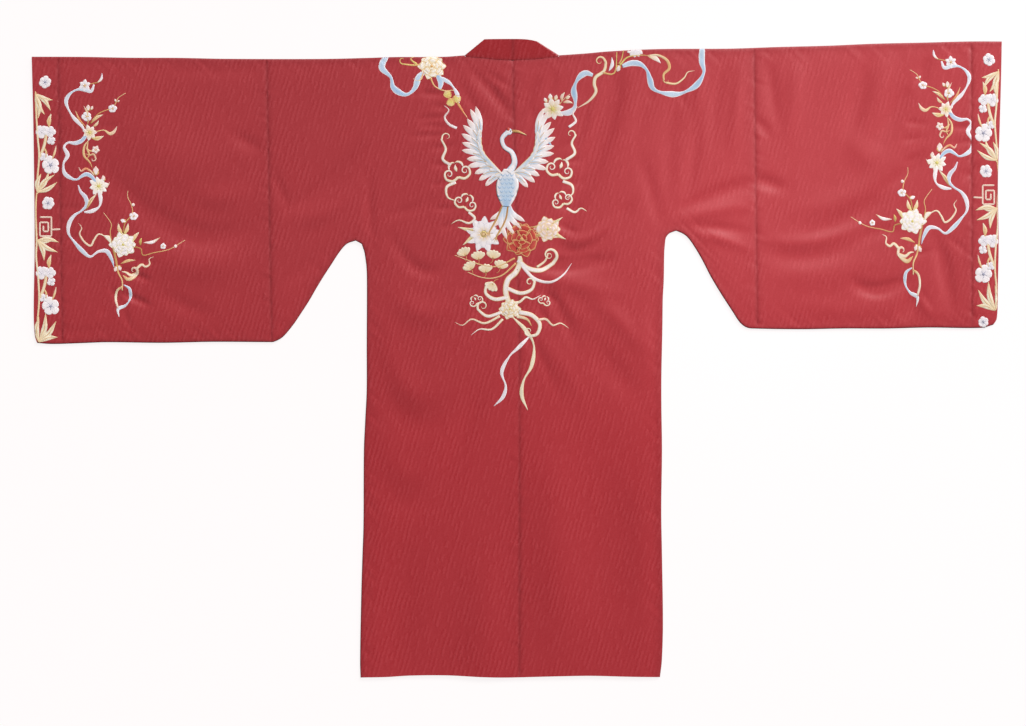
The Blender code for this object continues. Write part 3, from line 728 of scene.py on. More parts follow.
def at_shares(line, shares):
    """Points at these shares of the length of a line of close points."""
    length = np.r_[0, np.cumsum(np.linalg.norm(np.diff(line, axis=0), axis=1))]
    return np.stack([np.interp(np.asarray(shares) * length[-1], length, line[:, k]) for k in (0, 1)], 1)


def to_hem(x, y):
    """Level rows near the hem, at these (x, y), moved so that the last one follows the hem's uneven line."""
    return y + (value_at(HEM, x) - y.min()) * np.clip(1 - (y - y.min()) / HEM_FADE, 0, 1)


def front_seam_x(cut, y):
    """Where the collar's seam lies on the front at y."""
    out = value_at([(row[0], row[1]) for row in COLLAR_FRONT], y)
    to_neck = np.clip((y - NECKLINE_Y) / (cut.neck_point[1] - ROUND - NECKLINE_Y), 0, 1) ** 2
    return (across_at(CENTRE, y) + cut.sign * out) * (1 - to_neck) + cut.neck_point[0] * to_neck


def front_free_x(cut, y):
    """Where the collar's free edge lies on the front at y."""
    return across_at(CENTRE, y) + cut.sign * value_at([(row[0], row[2]) for row in COLLAR_FRONT], y)


def neck_stations(cut):
    """Points of the neck's seam, from its side to the middle of the back."""
    x = spread(cut.neck_point[0], COLLAR_X, NECK_COLUMNS, False, True)[1:]
    return np.stack([x, value_at(cut.neck, x)], 1)


def side_line(cut):
    """Points of the side seam from the armpit to the hem."""
    drawn = np.array(cut.side[:ARMPIT_POINTS])
    places = np.linspace(0, ARMPIT_POINTS - 1, ARMPIT_FINE)
    close = np.stack([np.interp(places, range(ARMPIT_POINTS), drawn[:, k]) for k in (0, 1)], 1)
    rounding = at_shares(close, np.linspace(0, 1, ARMPIT_STEPS + 1))
    y = np.linspace(rounding[-1, 1], cut.side[-1][1], BODY_ROWS + 1)[1:]
    return np.r_[rounding, np.stack([across_at(cut.side, y), y], 1)]


def root_under(cut, shares):
    """Points at these shares of the under side of the sleeve's root, from the joint to the armpit."""
    low_x, high_x = sorted((cut.joint[1][0], cut.side[0][0]))
    under = smooth_line([p for p in cut.under if low_x - 0.001 <= p[0] <= high_x + 0.001], 0.001)
    under = under[np.argsort(-np.abs(under[:, 0]))]
    under[0, 0] = cut.joint[1][0]
    return at_shares(under, shares)


# %% Halves of the body
def level_rows(starts, ends_x, shares):
    """A plan grid of level rows, each from its start to the x of its end."""
    x = starts[:, :1] + (ends_x[:, None] - starts[:, :1]) * shares[None]
    return np.stack([x, np.broadcast_to(starts[:, 1:], x.shape)], -1)


def body_half(name, cut):
    """Front, back, shoulder and the root of the sleeve in one cloth."""
    side = side_line(cut)
    armpit, neck_x, top_x = side[0], cut.neck_point[0], cut.joint[0][0]
    root = abs(armpit[0] - top_x)
    shares = spread(0, root, ROOT_COLUMNS, True) / root
    roots = len(shares) - 1
    under = root_under(cut, shares)
    over_body = np.linspace(armpit[0], neck_x, BODY_COLUMNS + 1)[1:]
    shoulder_x = np.r_[top_x + (armpit[0] - top_x) * shares, over_body]
    shoulder = np.stack([shoulder_x, value_at(cut.shoulder, shoulder_x)], 1)
    shoulder[-1, 1] = cut.neck_point[1]
    seam = unit(np.array(cut.joint[0]) - np.array(cut.joint[1]))
    normals = inward_normals(shoulder, np.array([[0.0, -1.0]]))
    normals[0], normals[-1] = -seam, (0, -1)
    shoulder_turn = turn(shoulder, normals)
    edge = np.r_[under, side[1:]]
    towards = np.where(np.arange(len(edge))[:, None] <= roots, (0.0, 1.0), (-cut.sign, 0.0))
    normals = inward_normals(edge, towards)
    normals[0] = seam
    edge_turn = turn(edge, normals)

    # shares of the way from the armhole to the centre seam
    neck = neck_stations(cut)
    shares = np.r_[0, (np.r_[over_body, neck[:, 0]] - armpit[0]) / (COLLAR_X - armpit[0])]
    lows = edge_turn[:, 0, :2]
    below = lows[roots:]
    back_low = level_rows(below, across_at(CENTRE, below[:, 1]), shares)
    front_low = level_rows(below, front_seam_x(cut, below[:, 1]), np.linspace(0, 1, BODY_COLUMNS + 1))
    for grid in (back_low, front_low):
        grid[..., 1] = to_hem(grid[..., 0], grid[..., 1])
    root_lows = lows[:roots]
    back_up = between(np.r_[shoulder_turn[:, 0, :2], neck], np.r_[root_lows, back_low[0]], BODY_UP_ROWS)
    front_up = between(shoulder_turn[:, -1, :2], np.r_[root_lows, front_low[0]], ACROSS_FRONT)
    front_up[-1, 1:-1, 0] = front_seam_x(cut, front_up[-1, 1:-1, 1])
    back_up, back_low = on_back(back_up), on_back(back_low)
    front_up, front_low = on_front(front_up), on_front(front_low)
    turns, low_turns = len(shoulder), edge_turn[roots:]
    back_up[: roots + 1, 0] = edge_turn[: roots + 1, 0]
    front_up[: roots + 1, 0] = edge_turn[: roots + 1, -1]
    back_up[:turns, -1], front_up[:, -1] = shoulder_turn[:, 0], shoulder_turn[:, -1]
    back_low[:, 0], front_low[:, 0] = low_turns[:, 0], low_turns[:, -1]
    return make_shell(name, [back_up, front_up, back_low, front_low, shoulder_turn, edge_turn], CLOTH)


for side, cut in CUTS.items():
    pieces["body_" + side] = body_half("body_cloth_" + side, cut)


# %% Halves of the collar band
COLLAR_STEPS = 8


def collar_half(name, cut):
    """From the back of the neck to its side, turned under there, then down the front edge to the hem."""
    tip, foot = np.array(cut.collar_tip), np.array(cut.neck_point)
    slope = unit(tip - foot)
    inward = np.array([slope[1], -slope[0]]) * -cut.sign
    to_centre = unit(np.array([COLLAR_X, TOP_Y]) - tip)
    turned = turn(np.array([foot, tip]), np.array([inward, to_centre]))
    stations = neck_stations(cut)[::-1]
    share = np.arange(len(stations)) / len(stations)
    free_x = stations[0, 0] + (turned[1, 0, 0] - stations[0, 0]) * share
    free_y = TOP_Y + (turned[1, 0, 1] - TOP_Y) * share**3
    height = np.full(len(stations), EDGE_HEIGHT)
    seam = np.r_[np.c_[stations, height], turned[0]]
    free = np.r_[np.c_[free_x, free_y, height], turned[1]]
    armpit = cut.side[0][1] + ROUND
    y = np.r_[np.linspace(cut.neck_point[1] - ROUND, armpit, ACROSS_FRONT + 1)[1:-1], side_line(cut)[:, 1]]
    seam_x, free_x = front_seam_x(cut, y), front_free_x(cut, y)
    seam = np.r_[seam, np.c_[seam_x, to_hem(seam_x, y), 0 * y]]
    free = np.r_[free, np.c_[free_x, to_hem(free_x, y), 0 * y]]
    t = np.linspace(0, 1, COLLAR_STEPS + 1)[None, :, None]
    return make_shell(name, [seam[:, None] * (1 - t) + free[:, None] * t], COLLAR_CLOTH, COLLAR_DARKENING)


for side, cut in CUTS.items():
    pieces["collar_" + side] = collar_half("collar_cloth_" + side, cut)


# %% [markdown]
# ## Red silk
#
# The cloth is silk satin, woven on a jacquard loom and given its dye in the piece. Satin has long floats on
# its face, which give a broad, soft shine. The pattern is woven in: short slanting dashes about 15 mm long,
# where the weave turns over. Each dash is painted with a pale, greyish sheen along one side and painted
# shade along the other, in place of the gloss and relief of its floats. An image would fix the size of
# the pattern, so a brick texture is used instead: each brick is a dash, laid on the slant. Noise pushes the
# bricks about, because cloth is never quite square, and makes their edges ragged. Painted shade darkens the
# silk along seams and turned edges, and the collar band is darker all over; each shell carries that as an
# attribute of its points.

# %% Sizes and colours of the woven pattern
DASH_LENGTH, DASH_PITCH, DASH_GAP = 0.0150, 0.0087, 0.0010
DASH_LEAN = math.radians(16)  # from the warp, which runs up and down the robe
WARP_PITCH = 0.0009  # about 30 warp threads as one: single threads are a thirtieth of a millimetre
BRICK_SCALE = 100  # the brick texture takes gaps up to 0.125 units, so its unit is a centimetre
RED, PALE_RED = "#AA2F36", "#AA5B61"
HEM_SHADE_RED, HEM_SHADE_FROM, HEM_SHADE_TO = "#AA2830", 0.22, -0.16  # painted shade: between these y the red deepens to this deeper red towards the hem, where the robe catches less of the lamps' sheen
COLLAR_RED = "#A81A23"  # the silk of the collar band is a deeper red
ADD, MULTIPLY, MULTIPLY_ADD = ({"operation": name} for name in ("ADD", "MULTIPLY", "MULTIPLY_ADD"))
print(round(LENGTH / DASH_PITCH), "rows of dashes would fit along the robe if they lay level.")


# %% The woven dashes
def woven_dashes(tree, place):
    """The relief of the dashes, about from -1 to 1."""
    drawn = add_node(tree, "Mapping", Vector=place, Rotation=(0, 0, DASH_LEAN - math.pi / 2))
    for scale, reach in ((28.0, 0.006), (170.0, 0.005)):  # pushed about widely, and then finely
        noise = add_node(tree, "TexNoise", Vector=place, Scale=scale, Detail=1.0).outputs["Color"]
        drawn = add_node(tree, "VectorMath", MULTIPLY_ADD, _0=noise, _1=(reach, reach, 0), _2=drawn)
    dash = add_node(
        tree,
        "TexBrick",
        {"offset": 0.5},
        Vector=drawn,
        Color1=(0, 0, 0, 1),
        Color2=(1, 1, 1, 1),
        Mortar=(0.5, 0.5, 0.5, 1),
        Scale=BRICK_SCALE,
        Mortar_Size=DASH_GAP * BRICK_SCALE,
        Mortar_Smooth=1.0,
        Brick_Width=DASH_LENGTH * BRICK_SCALE,
        Row_Height=DASH_PITCH * BRICK_SCALE,
    )
    across = add_node(tree, "SeparateXYZ", Vector=drawn).outputs["Y"]
    turns = add_node(tree, "Math", MULTIPLY, _0=across, _1=2 * math.pi / DASH_PITCH)
    wave = add_node(tree, "Math", {"operation": "SINE"}, _0=turns)
    inside = add_node(tree, "Math", {"operation": "SUBTRACT"}, _0=1.0, _1=dash.outputs["Fac"])
    relief = add_node(tree, "Math", MULTIPLY, _0=wave, _1=inside)

    # each dash has its own strength, and they are fainter in patches, as the loom's tension varies; towards
    # the right they fade further, a painted washing out of the pattern by the lamps' stronger sheen there
    own = dash.outputs["Color"]
    strong = add_node(tree, "MapRange", Value=own, To_Min=-0.3, To_Max=1.7)
    noise = add_node(tree, "TexNoise", Vector=place, Scale=9.0, Detail=2.0)
    patches = add_node(tree, "MapRange", Value=noise, From_Min=0.35, From_Max=0.62, To_Min=0.45, To_Max=1.25)
    right = add_node(tree, "SeparateXYZ", Vector=place).outputs["X"]
    lamp_washout = add_node(tree, "MapRange", Value=right, From_Min=-0.10, From_Max=0.40, To_Min=1.20, To_Max=0.68)
    for strength in (strong, patches, lamp_washout):
        relief = add_node(tree, "Math", MULTIPLY, _0=relief, _1=strength)
    height = add_node(tree, "MapRange", Value=own, To_Min=-0.3, To_Max=0.3)
    return add_node(tree, "Math", ADD, _0=relief, _1=height)


# %% Material of the cloth
def silk_satin(name, red, hem_shade_red):
    """Jacquard silk satin, red from a piece dye, with painted shade that deepens the red towards the hem."""
    material, tree, shader = new_material(name)
    place = add_node(tree, "TexCoord").outputs["Object"]
    relief = woven_dashes(tree, place)

    # bundles of warp threads, and the grain of the ground
    stretch = add_node(tree, "Mapping", Vector=place, Scale=(1 / WARP_PITCH, 12.0, 1.0))
    threads = add_node(tree, "TexNoise", Vector=stretch, Scale=1.0, Detail=2.0, Roughness=0.6)
    grain = add_node(tree, "TexNoise", Vector=place, Scale=330.0, Detail=2.0)

    # threads and cloudy patches make the dye lighter or darker; painted shade darkens it at seams and turned
    # edges, and the collar band is darker all over
    noise = add_node(tree, "TexNoise", Vector=place, Scale=2.6, Detail=2.0)
    cloudy = add_node(tree, "MapRange", Value=noise, To_Min=0.95, To_Max=1.05)
    lines = add_node(tree, "MapRange", Value=threads, To_Min=-0.05, To_Max=0.05)
    bright = add_node(tree, "Math", ADD, _0=lines, _1=cloudy)
    pressed = add_node(tree, "Attribute", {"attribute_name": "pressed"}).outputs["Fac"]
    bright = add_node(tree, "Math", MULTIPLY_ADD, _0=pressed, _1=-0.40, _2=bright)
    # painted shade: below the chest the red deepens towards the hem
    up = add_node(tree, "SeparateXYZ", Vector=place).outputs["Y"]
    hem_shade = add_node(tree, "MapRange", Value=up, From_Min=HEM_SHADE_FROM, From_Max=HEM_SHADE_TO)
    reds = {"_6": linear(red), "_7": linear(hem_shade_red)}
    red_and_hem_shade = add_node(tree, "Mix", {"data_type": "RGBA"}, _0=hem_shade, **reds).outputs[2]
    ground = add_node(tree, "VectorMath", {"operation": "SCALE"}, _0=red_and_hem_shade, Scale=bright)

    # painted sheen and painted shade on the two sides of each dash, and grain that is paler or darker at
    # random
    lit = add_node(tree, "MapRange", Value=relief, From_Min=-1, To_Min=-0.060, To_Max=0.060)
    speckle = add_node(tree, "MapRange", Value=grain, To_Min=-0.10, To_Max=0.10)
    pale = add_node(tree, "Math", ADD, _0=lit, _1=speckle)
    shine = add_node(tree, "VectorMath", {"operation": "SCALE"}, _0=linear(PALE_RED)[:3], Scale=pale)
    colour = add_node(tree, "VectorMath", ADD, _0=ground, _1=shine)

    # gloss and fine relief
    rough = add_node(tree, "MapRange", Value=relief, From_Min=-1, To_Min=0.40, To_Max=0.46)
    woven = add_node(tree, "Bump", Height=relief, Strength=0.5, Distance=0.00012)
    fine = add_node(tree, "Bump", Height=threads, Strength=0.4, Distance=0.00008, Normal=woven)
    plug(tree, shader, Base_Color=colour, Roughness=rough, Normal=fine)
    plug(tree, shader, Sheen_Weight=0.05, Sheen_Roughness=0.4)
    return material


SILK = silk_satin("red_silk_satin", RED, HEM_SHADE_RED)
COLLAR_SILK = silk_satin("doubled_red_silk_satin", COLLAR_RED, COLLAR_RED)
print("The silk's material has", len(SILK.node_tree.nodes), "nodes.")

# %% Dress the solids in silk
# Flat sizes of the cloth as it was cut and sewn, in metres: a tube's width is all round. The area is the
# cut's own.
Flat = namedtuple("Flat", "width length area")
for node, piece in pieces.items():
    piece.data.materials.append(COLLAR_SILK if "collar" in node else SILK)
    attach(piece, "root")
    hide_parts(node)

# %% [markdown]
# ## Satin stitch
#
# The flowers, ribbons and the bird are embroidered in satin stitch. Silk floss is laid side by side across
# each small shape until it stands about half a millimetre above the cloth in a soft dome, and gold-coloured
# silk edges many of the shapes. Modelling each stitch would take millions of faces, so one stroke is one
# shape: a smooth curve through a few points, with a width that swells and tapers as a brush stroke does. A
# stroke is closed underneath, follows the folds that it lies on, and carries the colour of its threads and
# the lie of its stitches as attributes of its points.

# %% Threads on the winder
WHITE, PEARL, LILAC = "#FBF1F2", "#EBE3EA", "#DCC9D8"
BLUE, SKY, INK = "#C3D5E8", "#9EBEDF", "#35506F"
CREAM, BLUSH, PALE_GOLD = "#F5E8CE", "#F0CDBE", "#EECD9C"
GOLD, OCHRE, LIME = "#DCAA6C", "#AE7A3E", "#DDCC72"
CORAL, SCARLET, ORANGE = "#D5553F", "#B32320", "#E4905A"

# Painted shade: the lamps are brighter at the right, where white floss would glare, so the colours of the
# threads there, and on the back, are painted darker; on the left they are painted a little lighter.
THREAD_SHADING = {"left": 1.02, "back": 0.88, "right": 0.82}
SLEEVE_THREAD_SHADING = {"left": 1.02, "right": 0.84}
CUFF_THREAD_SHADING = {"left": 1.02, "right": 0.81}

# %% Shapes of a stroke, as (share of its length, share of its full width)
TAPER = [(0.0, 0.15), (0.2, 0.75), (0.5, 1.0), (0.8, 0.62), (1.0, 0.06)]
LEAF = [(0.0, 0.12), (0.2, 0.62), (0.45, 1.0), (0.75, 0.62), (1.0, 0.05)]
TAIL = [(0.0, 1.0), (0.3, 0.92), (0.65, 0.62), (0.9, 0.30), (1.0, 0.08)]
BRANCH = [(0.0, 1.0), (0.3, 0.75), (0.6, 0.6), (1.0, 0.35)]
CORD = [(0.0, 0.70), (0.08, 1.0), (0.92, 1.0), (1.0, 0.70)]
ROUNDED = [(0.0, 0.30), (0.25, 0.70), (0.55, 0.98), (0.80, 0.94), (0.94, 0.62), (1.0, 0.22)]
POINTED = [(0.0, 0.30), (0.25, 0.78), (0.50, 1.0), (0.75, 0.70), (0.92, 0.30), (1.0, 0.06)]
FEATHER = [(0.0, 0.45), (0.25, 0.80), (0.60, 1.0), (0.86, 0.74), (1.0, 0.10)]
DOT = [(0.0, 0.16), (0.08, 0.54), (0.25, 0.87), (0.5, 1.0), (0.75, 0.87), (0.92, 0.54), (1.0, 0.16)]

# %% How a stroke is built, in millimetres and shares
STEP = 1.7  # between the cross-sections of a stroke
BROAD = np.array([-1.0, -0.88, -0.56, 0.0, 0.56, 0.88, 1.0])  # points across, as shares of half the width
FINE = np.array([-1.0, -0.6, 0.0, 0.6, 1.0])
FINE_HALF, THINNEST = 1.3, 0.14  # a stroke of less half width has fewer points across, and none is thinner
CURB = 0.85  # half its width is at most this share of its bend's radius, so that it can't fold over itself
CROWN, STEEPEST = 2.4, 0.65  # roundness of its top, and its most height as a share of half its width
SUNK = 0.25  # how far the edges sink into the silk, so that no gap shows on a fold
RIM_FROM, RIM_TO = 0.50, 0.85  # where the colour of the rim begins, and where it is full
OVER = 0.38  # the floss covers the drawn line, so a shape ends up this much wider on each side
LOW = 0.62  # satin stitch without padding stands lower than the heights given to each stroke
SLANT, DRIFT = 0.45, 0.15  # lean of the stitches across a stroke, and of those that run along it


# %% A hoop is a place to embroider
class Hoop:
    """Stitching in progress, drawn in millimetres from a point of the robe, and turned or mirrored there."""

    def __init__(self, x, y, turn=0.0, size=0.001, mirror=1, strokes=None):
        c, s = math.cos(math.radians(turn)), math.sin(math.radians(turn))
        self.matrix = size * np.array([[c, -s], [s, c]])
        self.matrix[:, 0] *= mirror
        self.origin = np.array([x, y], float)
        self.strokes = [] if strokes is None else strokes

    def at(self, x, y, turn=0.0, size=1.0, mirror=1):
        """A hoop inside this one, for a motif. Its stitches go into the same piece."""
        inner = Hoop(x, y, turn, size, mirror, self.strokes)
        inner.origin = self.origin + self.matrix @ inner.origin
        inner.matrix = self.matrix @ inner.matrix
        return inner

    def scale(self):
        """Millimetres on the robe for one unit of the drawing."""
        return 1000 * math.sqrt(abs(np.linalg.det(self.matrix)))


def smooth_path(points, step):
    """Points a step apart along a smooth curve through these ones."""
    path = np.array(points, float)
    if len(path) > 2:
        ends = np.r_[[2 * path[0] - path[1]], path, [2 * path[-1] - path[-2]]]
        t = np.linspace(0, 1, 9)[:-1, None]
        spans = zip(ends[:-3], ends[1:-2], ends[2:-1], ends[3:])
        curves = [
            b + 0.5 * ((c - a) * t + (2 * a - 5 * b + 4 * c - d) * t**2 + (3 * b - a - 3 * c + d) * t**3)
            for a, b, c, d in spans
        ]
        path = np.r_[np.concatenate(curves), path[-1:]]
    length = np.linalg.norm(np.diff(path, axis=0), axis=1).sum()
    return at_shares(path, np.linspace(0, 1, max(3, math.ceil(length / step)) + 1))


def stroke(hoop, points, half, colours, rim=None, shape=TAPER, lift=0.0, dome=0.55, lengthwise=False):
    """One satin-stitched shape. Colours run from start to end, rim colours its edges. Returns the edges."""
    scale = hoop.scale()
    half = half + OVER / scale
    line = smooth_path(points, STEP / scale)
    share = np.linspace(0, 1, len(line))
    tangent = unit(np.gradient(line, axis=0))
    normal = np.stack([-tangent[:, 1], tangent[:, 0]], 1)
    step = np.linalg.norm(line[1] - line[0])
    bend = np.linalg.norm(np.gradient(tangent, axis=0), axis=1) / step
    wide = np.minimum(half * value_at(shape, share), CURB / np.maximum(bend, 1e-6))
    wide = np.maximum(wide, THINNEST / scale)
    across = FINE if half * scale < FINE_HALF else BROAD
    crown = np.sqrt(1 - np.abs(across) ** CROWN)
    offset = across[None] * wide[:, None]
    plan = line[:, None] + normal[:, None] * offset[..., None]
    rise = np.minimum(dome, STEEPEST * wide * scale)[:, None] * crown[None] + lift
    rise = LOW * rise - SUNK * (1 - crown)[None]
    threads = np.array([linear(c)[:3] for c in colours])
    along = np.linspace(0, 1, len(threads))
    colour = np.stack([np.interp(share, along, threads[:, k]) for k in range(3)], 1)
    colour = np.repeat(colour[:, None], len(across), axis=1)
    if rim is not None:
        mix = np.clip((np.abs(across) - RIM_FROM) / (RIM_TO - RIM_FROM), 0, 1)[None, :, None]
        colour = colour * (1 - mix) + np.array(linear(rim)[:3]) * mix
    travel = (share * step * (len(line) - 1))[:, None]
    stitch = (offset + DRIFT * travel if lengthwise else travel + SLANT * offset) * scale
    robe = plan @ hoop.matrix.T + hoop.origin
    hoop.strokes.append((robe, rise / 1000, colour, stitch, np.linalg.det(hoop.matrix) > 0))
    return plan[:, 0], plan[:, -1]


# %% Lay the stitches on the cloth
def cloth_tree():
    """The outer faces of all shells, to drop points on."""
    points, faces = [], []
    for piece in pieces.values():
        first = len(points)
        points.extend(vertex.co.copy() for vertex in piece.data.vertices)
        faces.extend([first + i for i in face.vertices] for face in piece.data.polygons)
    return BVHTree.FromPolygons(points, faces)


CLOTH_TREE = cloth_tree()
DOWN, DROP_FROM, SIDESTEP = Vector((0, 0, -1)), 0.05, 0.0002


def cloth_height(x, y):
    """Height of the cloth at a point. A point just between two shells takes the cloth beside it."""
    for shift in (0, SIDESTEP, -SIDESTEP):
        hit = CLOTH_TREE.ray_cast((x + shift, y, DROP_FROM), DOWN)[0]
        if hit is not None and hit.z > LOWEST / 2:
            return hit.z
    return LIE_HEIGHT


# %% Sew a hoop's strokes as one piece
FROM_SEAM = 0.0005


def keep_to_cloth(plan, cut, within):
    """Stops stitches at the cuff's seam, and at the end of the cuff, as the seam took in what lay past it."""
    out = cut.sign * plan[:, 0]
    seam = cut.sign * across_at(cut.cuff_seam, plan[:, 1])
    end = cut.sign * across_at(cut.cuff_edge, plan[:, 1])
    out = np.minimum(out, seam - FROM_SEAM) if within else np.clip(out, seam + FROM_SEAM, end - 2 * FROM_SEAM)
    return np.c_[cut.sign * out, plan[:, 1]]


def lay(plan, rise):
    """Plan points on the cloth and raised from it. Those past the fold of the shoulder go round it."""
    plan = plan.copy()
    height = np.array([cloth_height(x, y) for x, y in plan]) + rise
    for cut in CUTS.values():
        start = value_at(cut.shoulder, plan[:, 0]) - ROUND
        over = (cut.sign * (plan[:, 0] - cut.neck_point[0]) > 0) & (plan[:, 1] > start)
        angle = np.minimum((plan[over, 1] - start[over]) / ROUND, math.pi / 2)
        plan[over, 1] = start[over] + (ROUND + rise[over]) * np.sin(angle)
        height[over] = ROUND + (ROUND + rise[over]) * np.cos(angle)
    return np.c_[plan, height]


def gather(strokes):
    """Points, faces, thread colours and lie of the stitches of all these strokes."""
    points, faces, colours, stitches, first = [], [], [], [], 0
    for plan, rise, colour, stitch, upright in strokes:
        rows, columns = rise.shape
        index = first + np.arange(rows * columns).reshape(rows, columns)
        top = np.stack([index[:-1, :-1], index[1:, :-1], index[1:, 1:], index[:-1, 1:]], -1).reshape(-1, 4)
        under = np.stack([index[:-1, 0], index[:-1, -1], index[1:, -1], index[1:, 0]], -1)
        new = top.tolist() + under.tolist() + [index[0].tolist(), index[-1, ::-1].tolist()]
        faces.extend(new if upright else [face[::-1] for face in new])
        points.append(np.c_[plan.reshape(-1, 2), rise.reshape(-1)])
        colours.append(colour.reshape(-1, 3))
        stitches.append(stitch.reshape(-1))
        first += rows * columns
    return np.concatenate(points), faces, np.concatenate(colours), np.concatenate(stitches)


def sew(hoop, name, painted_shading, cut=None, within=True):
    """The hoop's strokes as one piece of the robe, with the threads' colours scaled by this painted shading.
    A cut keeps them within its cuff's seam, or outside it."""
    points, faces, colours, stitches = gather(hoop.strokes)
    if cut is not None:
        points[:, :2] = keep_to_cloth(points[:, :2], cut, within)
    mesh = bpy.data.meshes.new(name)
    mesh.from_pydata(lay(points[:, :2], points[:, 2]).tolist(), [], faces)
    mesh.shade_smooth()
    rgba = np.c_[painted_shading * colours, np.ones(len(colours))].astype(np.float32).reshape(-1)
    mesh.attributes.new("thread_colour", "FLOAT_COLOR", "POINT").data.foreach_set("color", rgba)
    mesh.attributes.new("stitch", "FLOAT", "POINT").data.foreach_set("value", stitches.astype(np.float32))
    mesh.materials.append(FLOSS)
    piece = put_in_scene(name, mesh)
    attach(piece, "root")
    triangles = sum(len(face) - 2 for face in faces)
    print(f"{name}: {len(hoop.strokes)} strokes, {triangles} triangles")


# %% [markdown]
# ## Silk floss
#
# Embroidery floss is degummed filament silk with hardly any twist, so it shines more than the ground. Its
# stitches lie about 0.4 mm apart, which is too fine to show, so they are drawn twice as coarse, as fine
# grooves in relief across each stroke, with painted shade in each groove and a painted highlight on each
# crest. The colour comes from the stroke, so that one material serves for all the threads.

# %% Material of the threads
STITCH_PITCH = 0.8  # millimetres


def silk_floss():
    """Untwisted filament silk in satin stitch."""
    material, tree, shader = new_material("silk_floss_satin_stitch")
    place = add_node(tree, "TexCoord").outputs["Object"]
    thread = add_node(tree, "Attribute", {"attribute_name": "thread_colour"}).outputs["Color"]
    stitch = add_node(tree, "Attribute", {"attribute_name": "stitch"}).outputs["Fac"]
    uneven = add_node(tree, "TexNoise", Vector=place, Scale=420.0, Detail=2.0)
    phase = add_node(tree, "Math", MULTIPLY_ADD, _0=stitch, _1=2 * math.pi / STITCH_PITCH, _2=uneven)
    groove = add_node(tree, "Math", {"operation": "SINE"}, _0=phase)
    # painted shade in the grooves between stitches, and a painted highlight on their crests
    painted_shading = add_node(tree, "MapRange", Value=groove, From_Min=-1, To_Min=-0.07, To_Max=0.04)
    shade = add_node(tree, "MapRange", Value=uneven, To_Min=0.95, To_Max=1.05)
    bright = add_node(tree, "Math", ADD, _0=painted_shading, _1=shade)
    colour = add_node(tree, "VectorMath", {"operation": "SCALE"}, _0=thread, Scale=bright)
    rough = add_node(tree, "MapRange", Value=groove, From_Min=-1, To_Min=0.64, To_Max=0.52)
    relief = add_node(tree, "Bump", Height=groove, Strength=0.5, Distance=0.00008)
    plug(tree, shader, Base_Color=colour, Roughness=rough, Normal=relief)
    plug(tree, shader, Sheen_Weight=0.05, Sheen_Roughness=0.35)
    return material


FLOSS = silk_floss()
print("The floss's material has", len(FLOSS.node_tree.nodes), "nodes.")


# %% [markdown]
# ## Motifs
#
# The motifs are the common ones of such embroidery: plum blossom, peony, lotus, bamboo, cloud scrolls,
# ribbons and a crane. Each is a short function that draws round its own middle, so it can be used again at
# any place, turn and size. Their petals and feathers differ a little in length, as hand work does.

# %% Lines, leaves and ribbons
def spiral(x, y, radius, start, turns, shrink=0.25):
    """Points that wind inwards round (x, y) from the angle start. Positive turns go anticlockwise."""
    count = max(4, int(abs(turns) * 9))
    angles = math.radians(start) + 2 * math.pi * turns * np.arange(count + 1) / count
    radii = radius * (1 - (1 - shrink) * np.arange(count + 1) / count)
    return [(x + r * math.cos(a), y + r * math.sin(a)) for a, r in zip(angles, radii)]


def dot(hoop, x, y, radius, colours, lift=0.3, rim=None):
    """A small round pad of stitches."""
    stroke(hoop, [(x - radius, y), (x + radius, y)], radius, colours, rim, DOT, lift, 0.7)


VEIN_REACH = 0.55  # how far a leaf's vein runs from its middle to its ends


def leaf(hoop, start, end, half, colours, bend=0.12, rim=None, lift=0.0, vein=None):
    """A leaf from one point to another, bowed to its left by a share of its length."""
    start, end = np.array(start, float), np.array(end, float)
    middle = (start + end) / 2 + bend * np.array([start[1] - end[1], end[0] - start[0]])
    stroke(hoop, [start, middle, end], half, colours, rim, LEAF, lift, 0.5)
    if vein is not None:
        path = [middle + VEIN_REACH * (point - middle) for point in (start, middle, end)]
        stroke(hoop, path, 0.14 * half, [vein], None, TAPER, lift + 0.35, 0.25)


def ribbon(hoop, points, half, twists, core, rim, ends=(0.25, 0.10)):
    """A silk ribbon, pale inside and white at its edges, that narrows where it twists."""
    shape = [(0.0, ends[0])]
    for k in range(2 * twists - 1):
        shape.append(((k + 1) / (2 * twists), 0.46 if k % 2 else 1.0))
    shape.append((1.0, ends[1]))
    stroke(hoop, points, half, core, rim, shape, 0.0, 0.5)


def outline(hoop, edges, colour, lift):
    """A fine line of thread round a shape, from its start round its tip and back."""
    left, right = edges
    round_it = np.r_[left[:-1:2], [(left[-1] + right[-1]) / 2], right[:-1:2][::-1]]
    stroke(hoop, round_it, 0.42, [colour], None, CORD, lift, 0.3)


# %% Flowers
def petal(hoop, start, length, half, colours, shape=ROUNDED, lift=0.0, edge=None, rim=None):
    """A petal that points along +X from start. Its stitches run from its root to its rim."""
    path = [(start, 0), ((start + length) / 2, 0), (length, 0)]
    edges = stroke(hoop, path, half, colours, rim, shape, lift, 0.5, True)
    if edge is not None:
        outline(hoop, edges, edge, lift + 0.2)


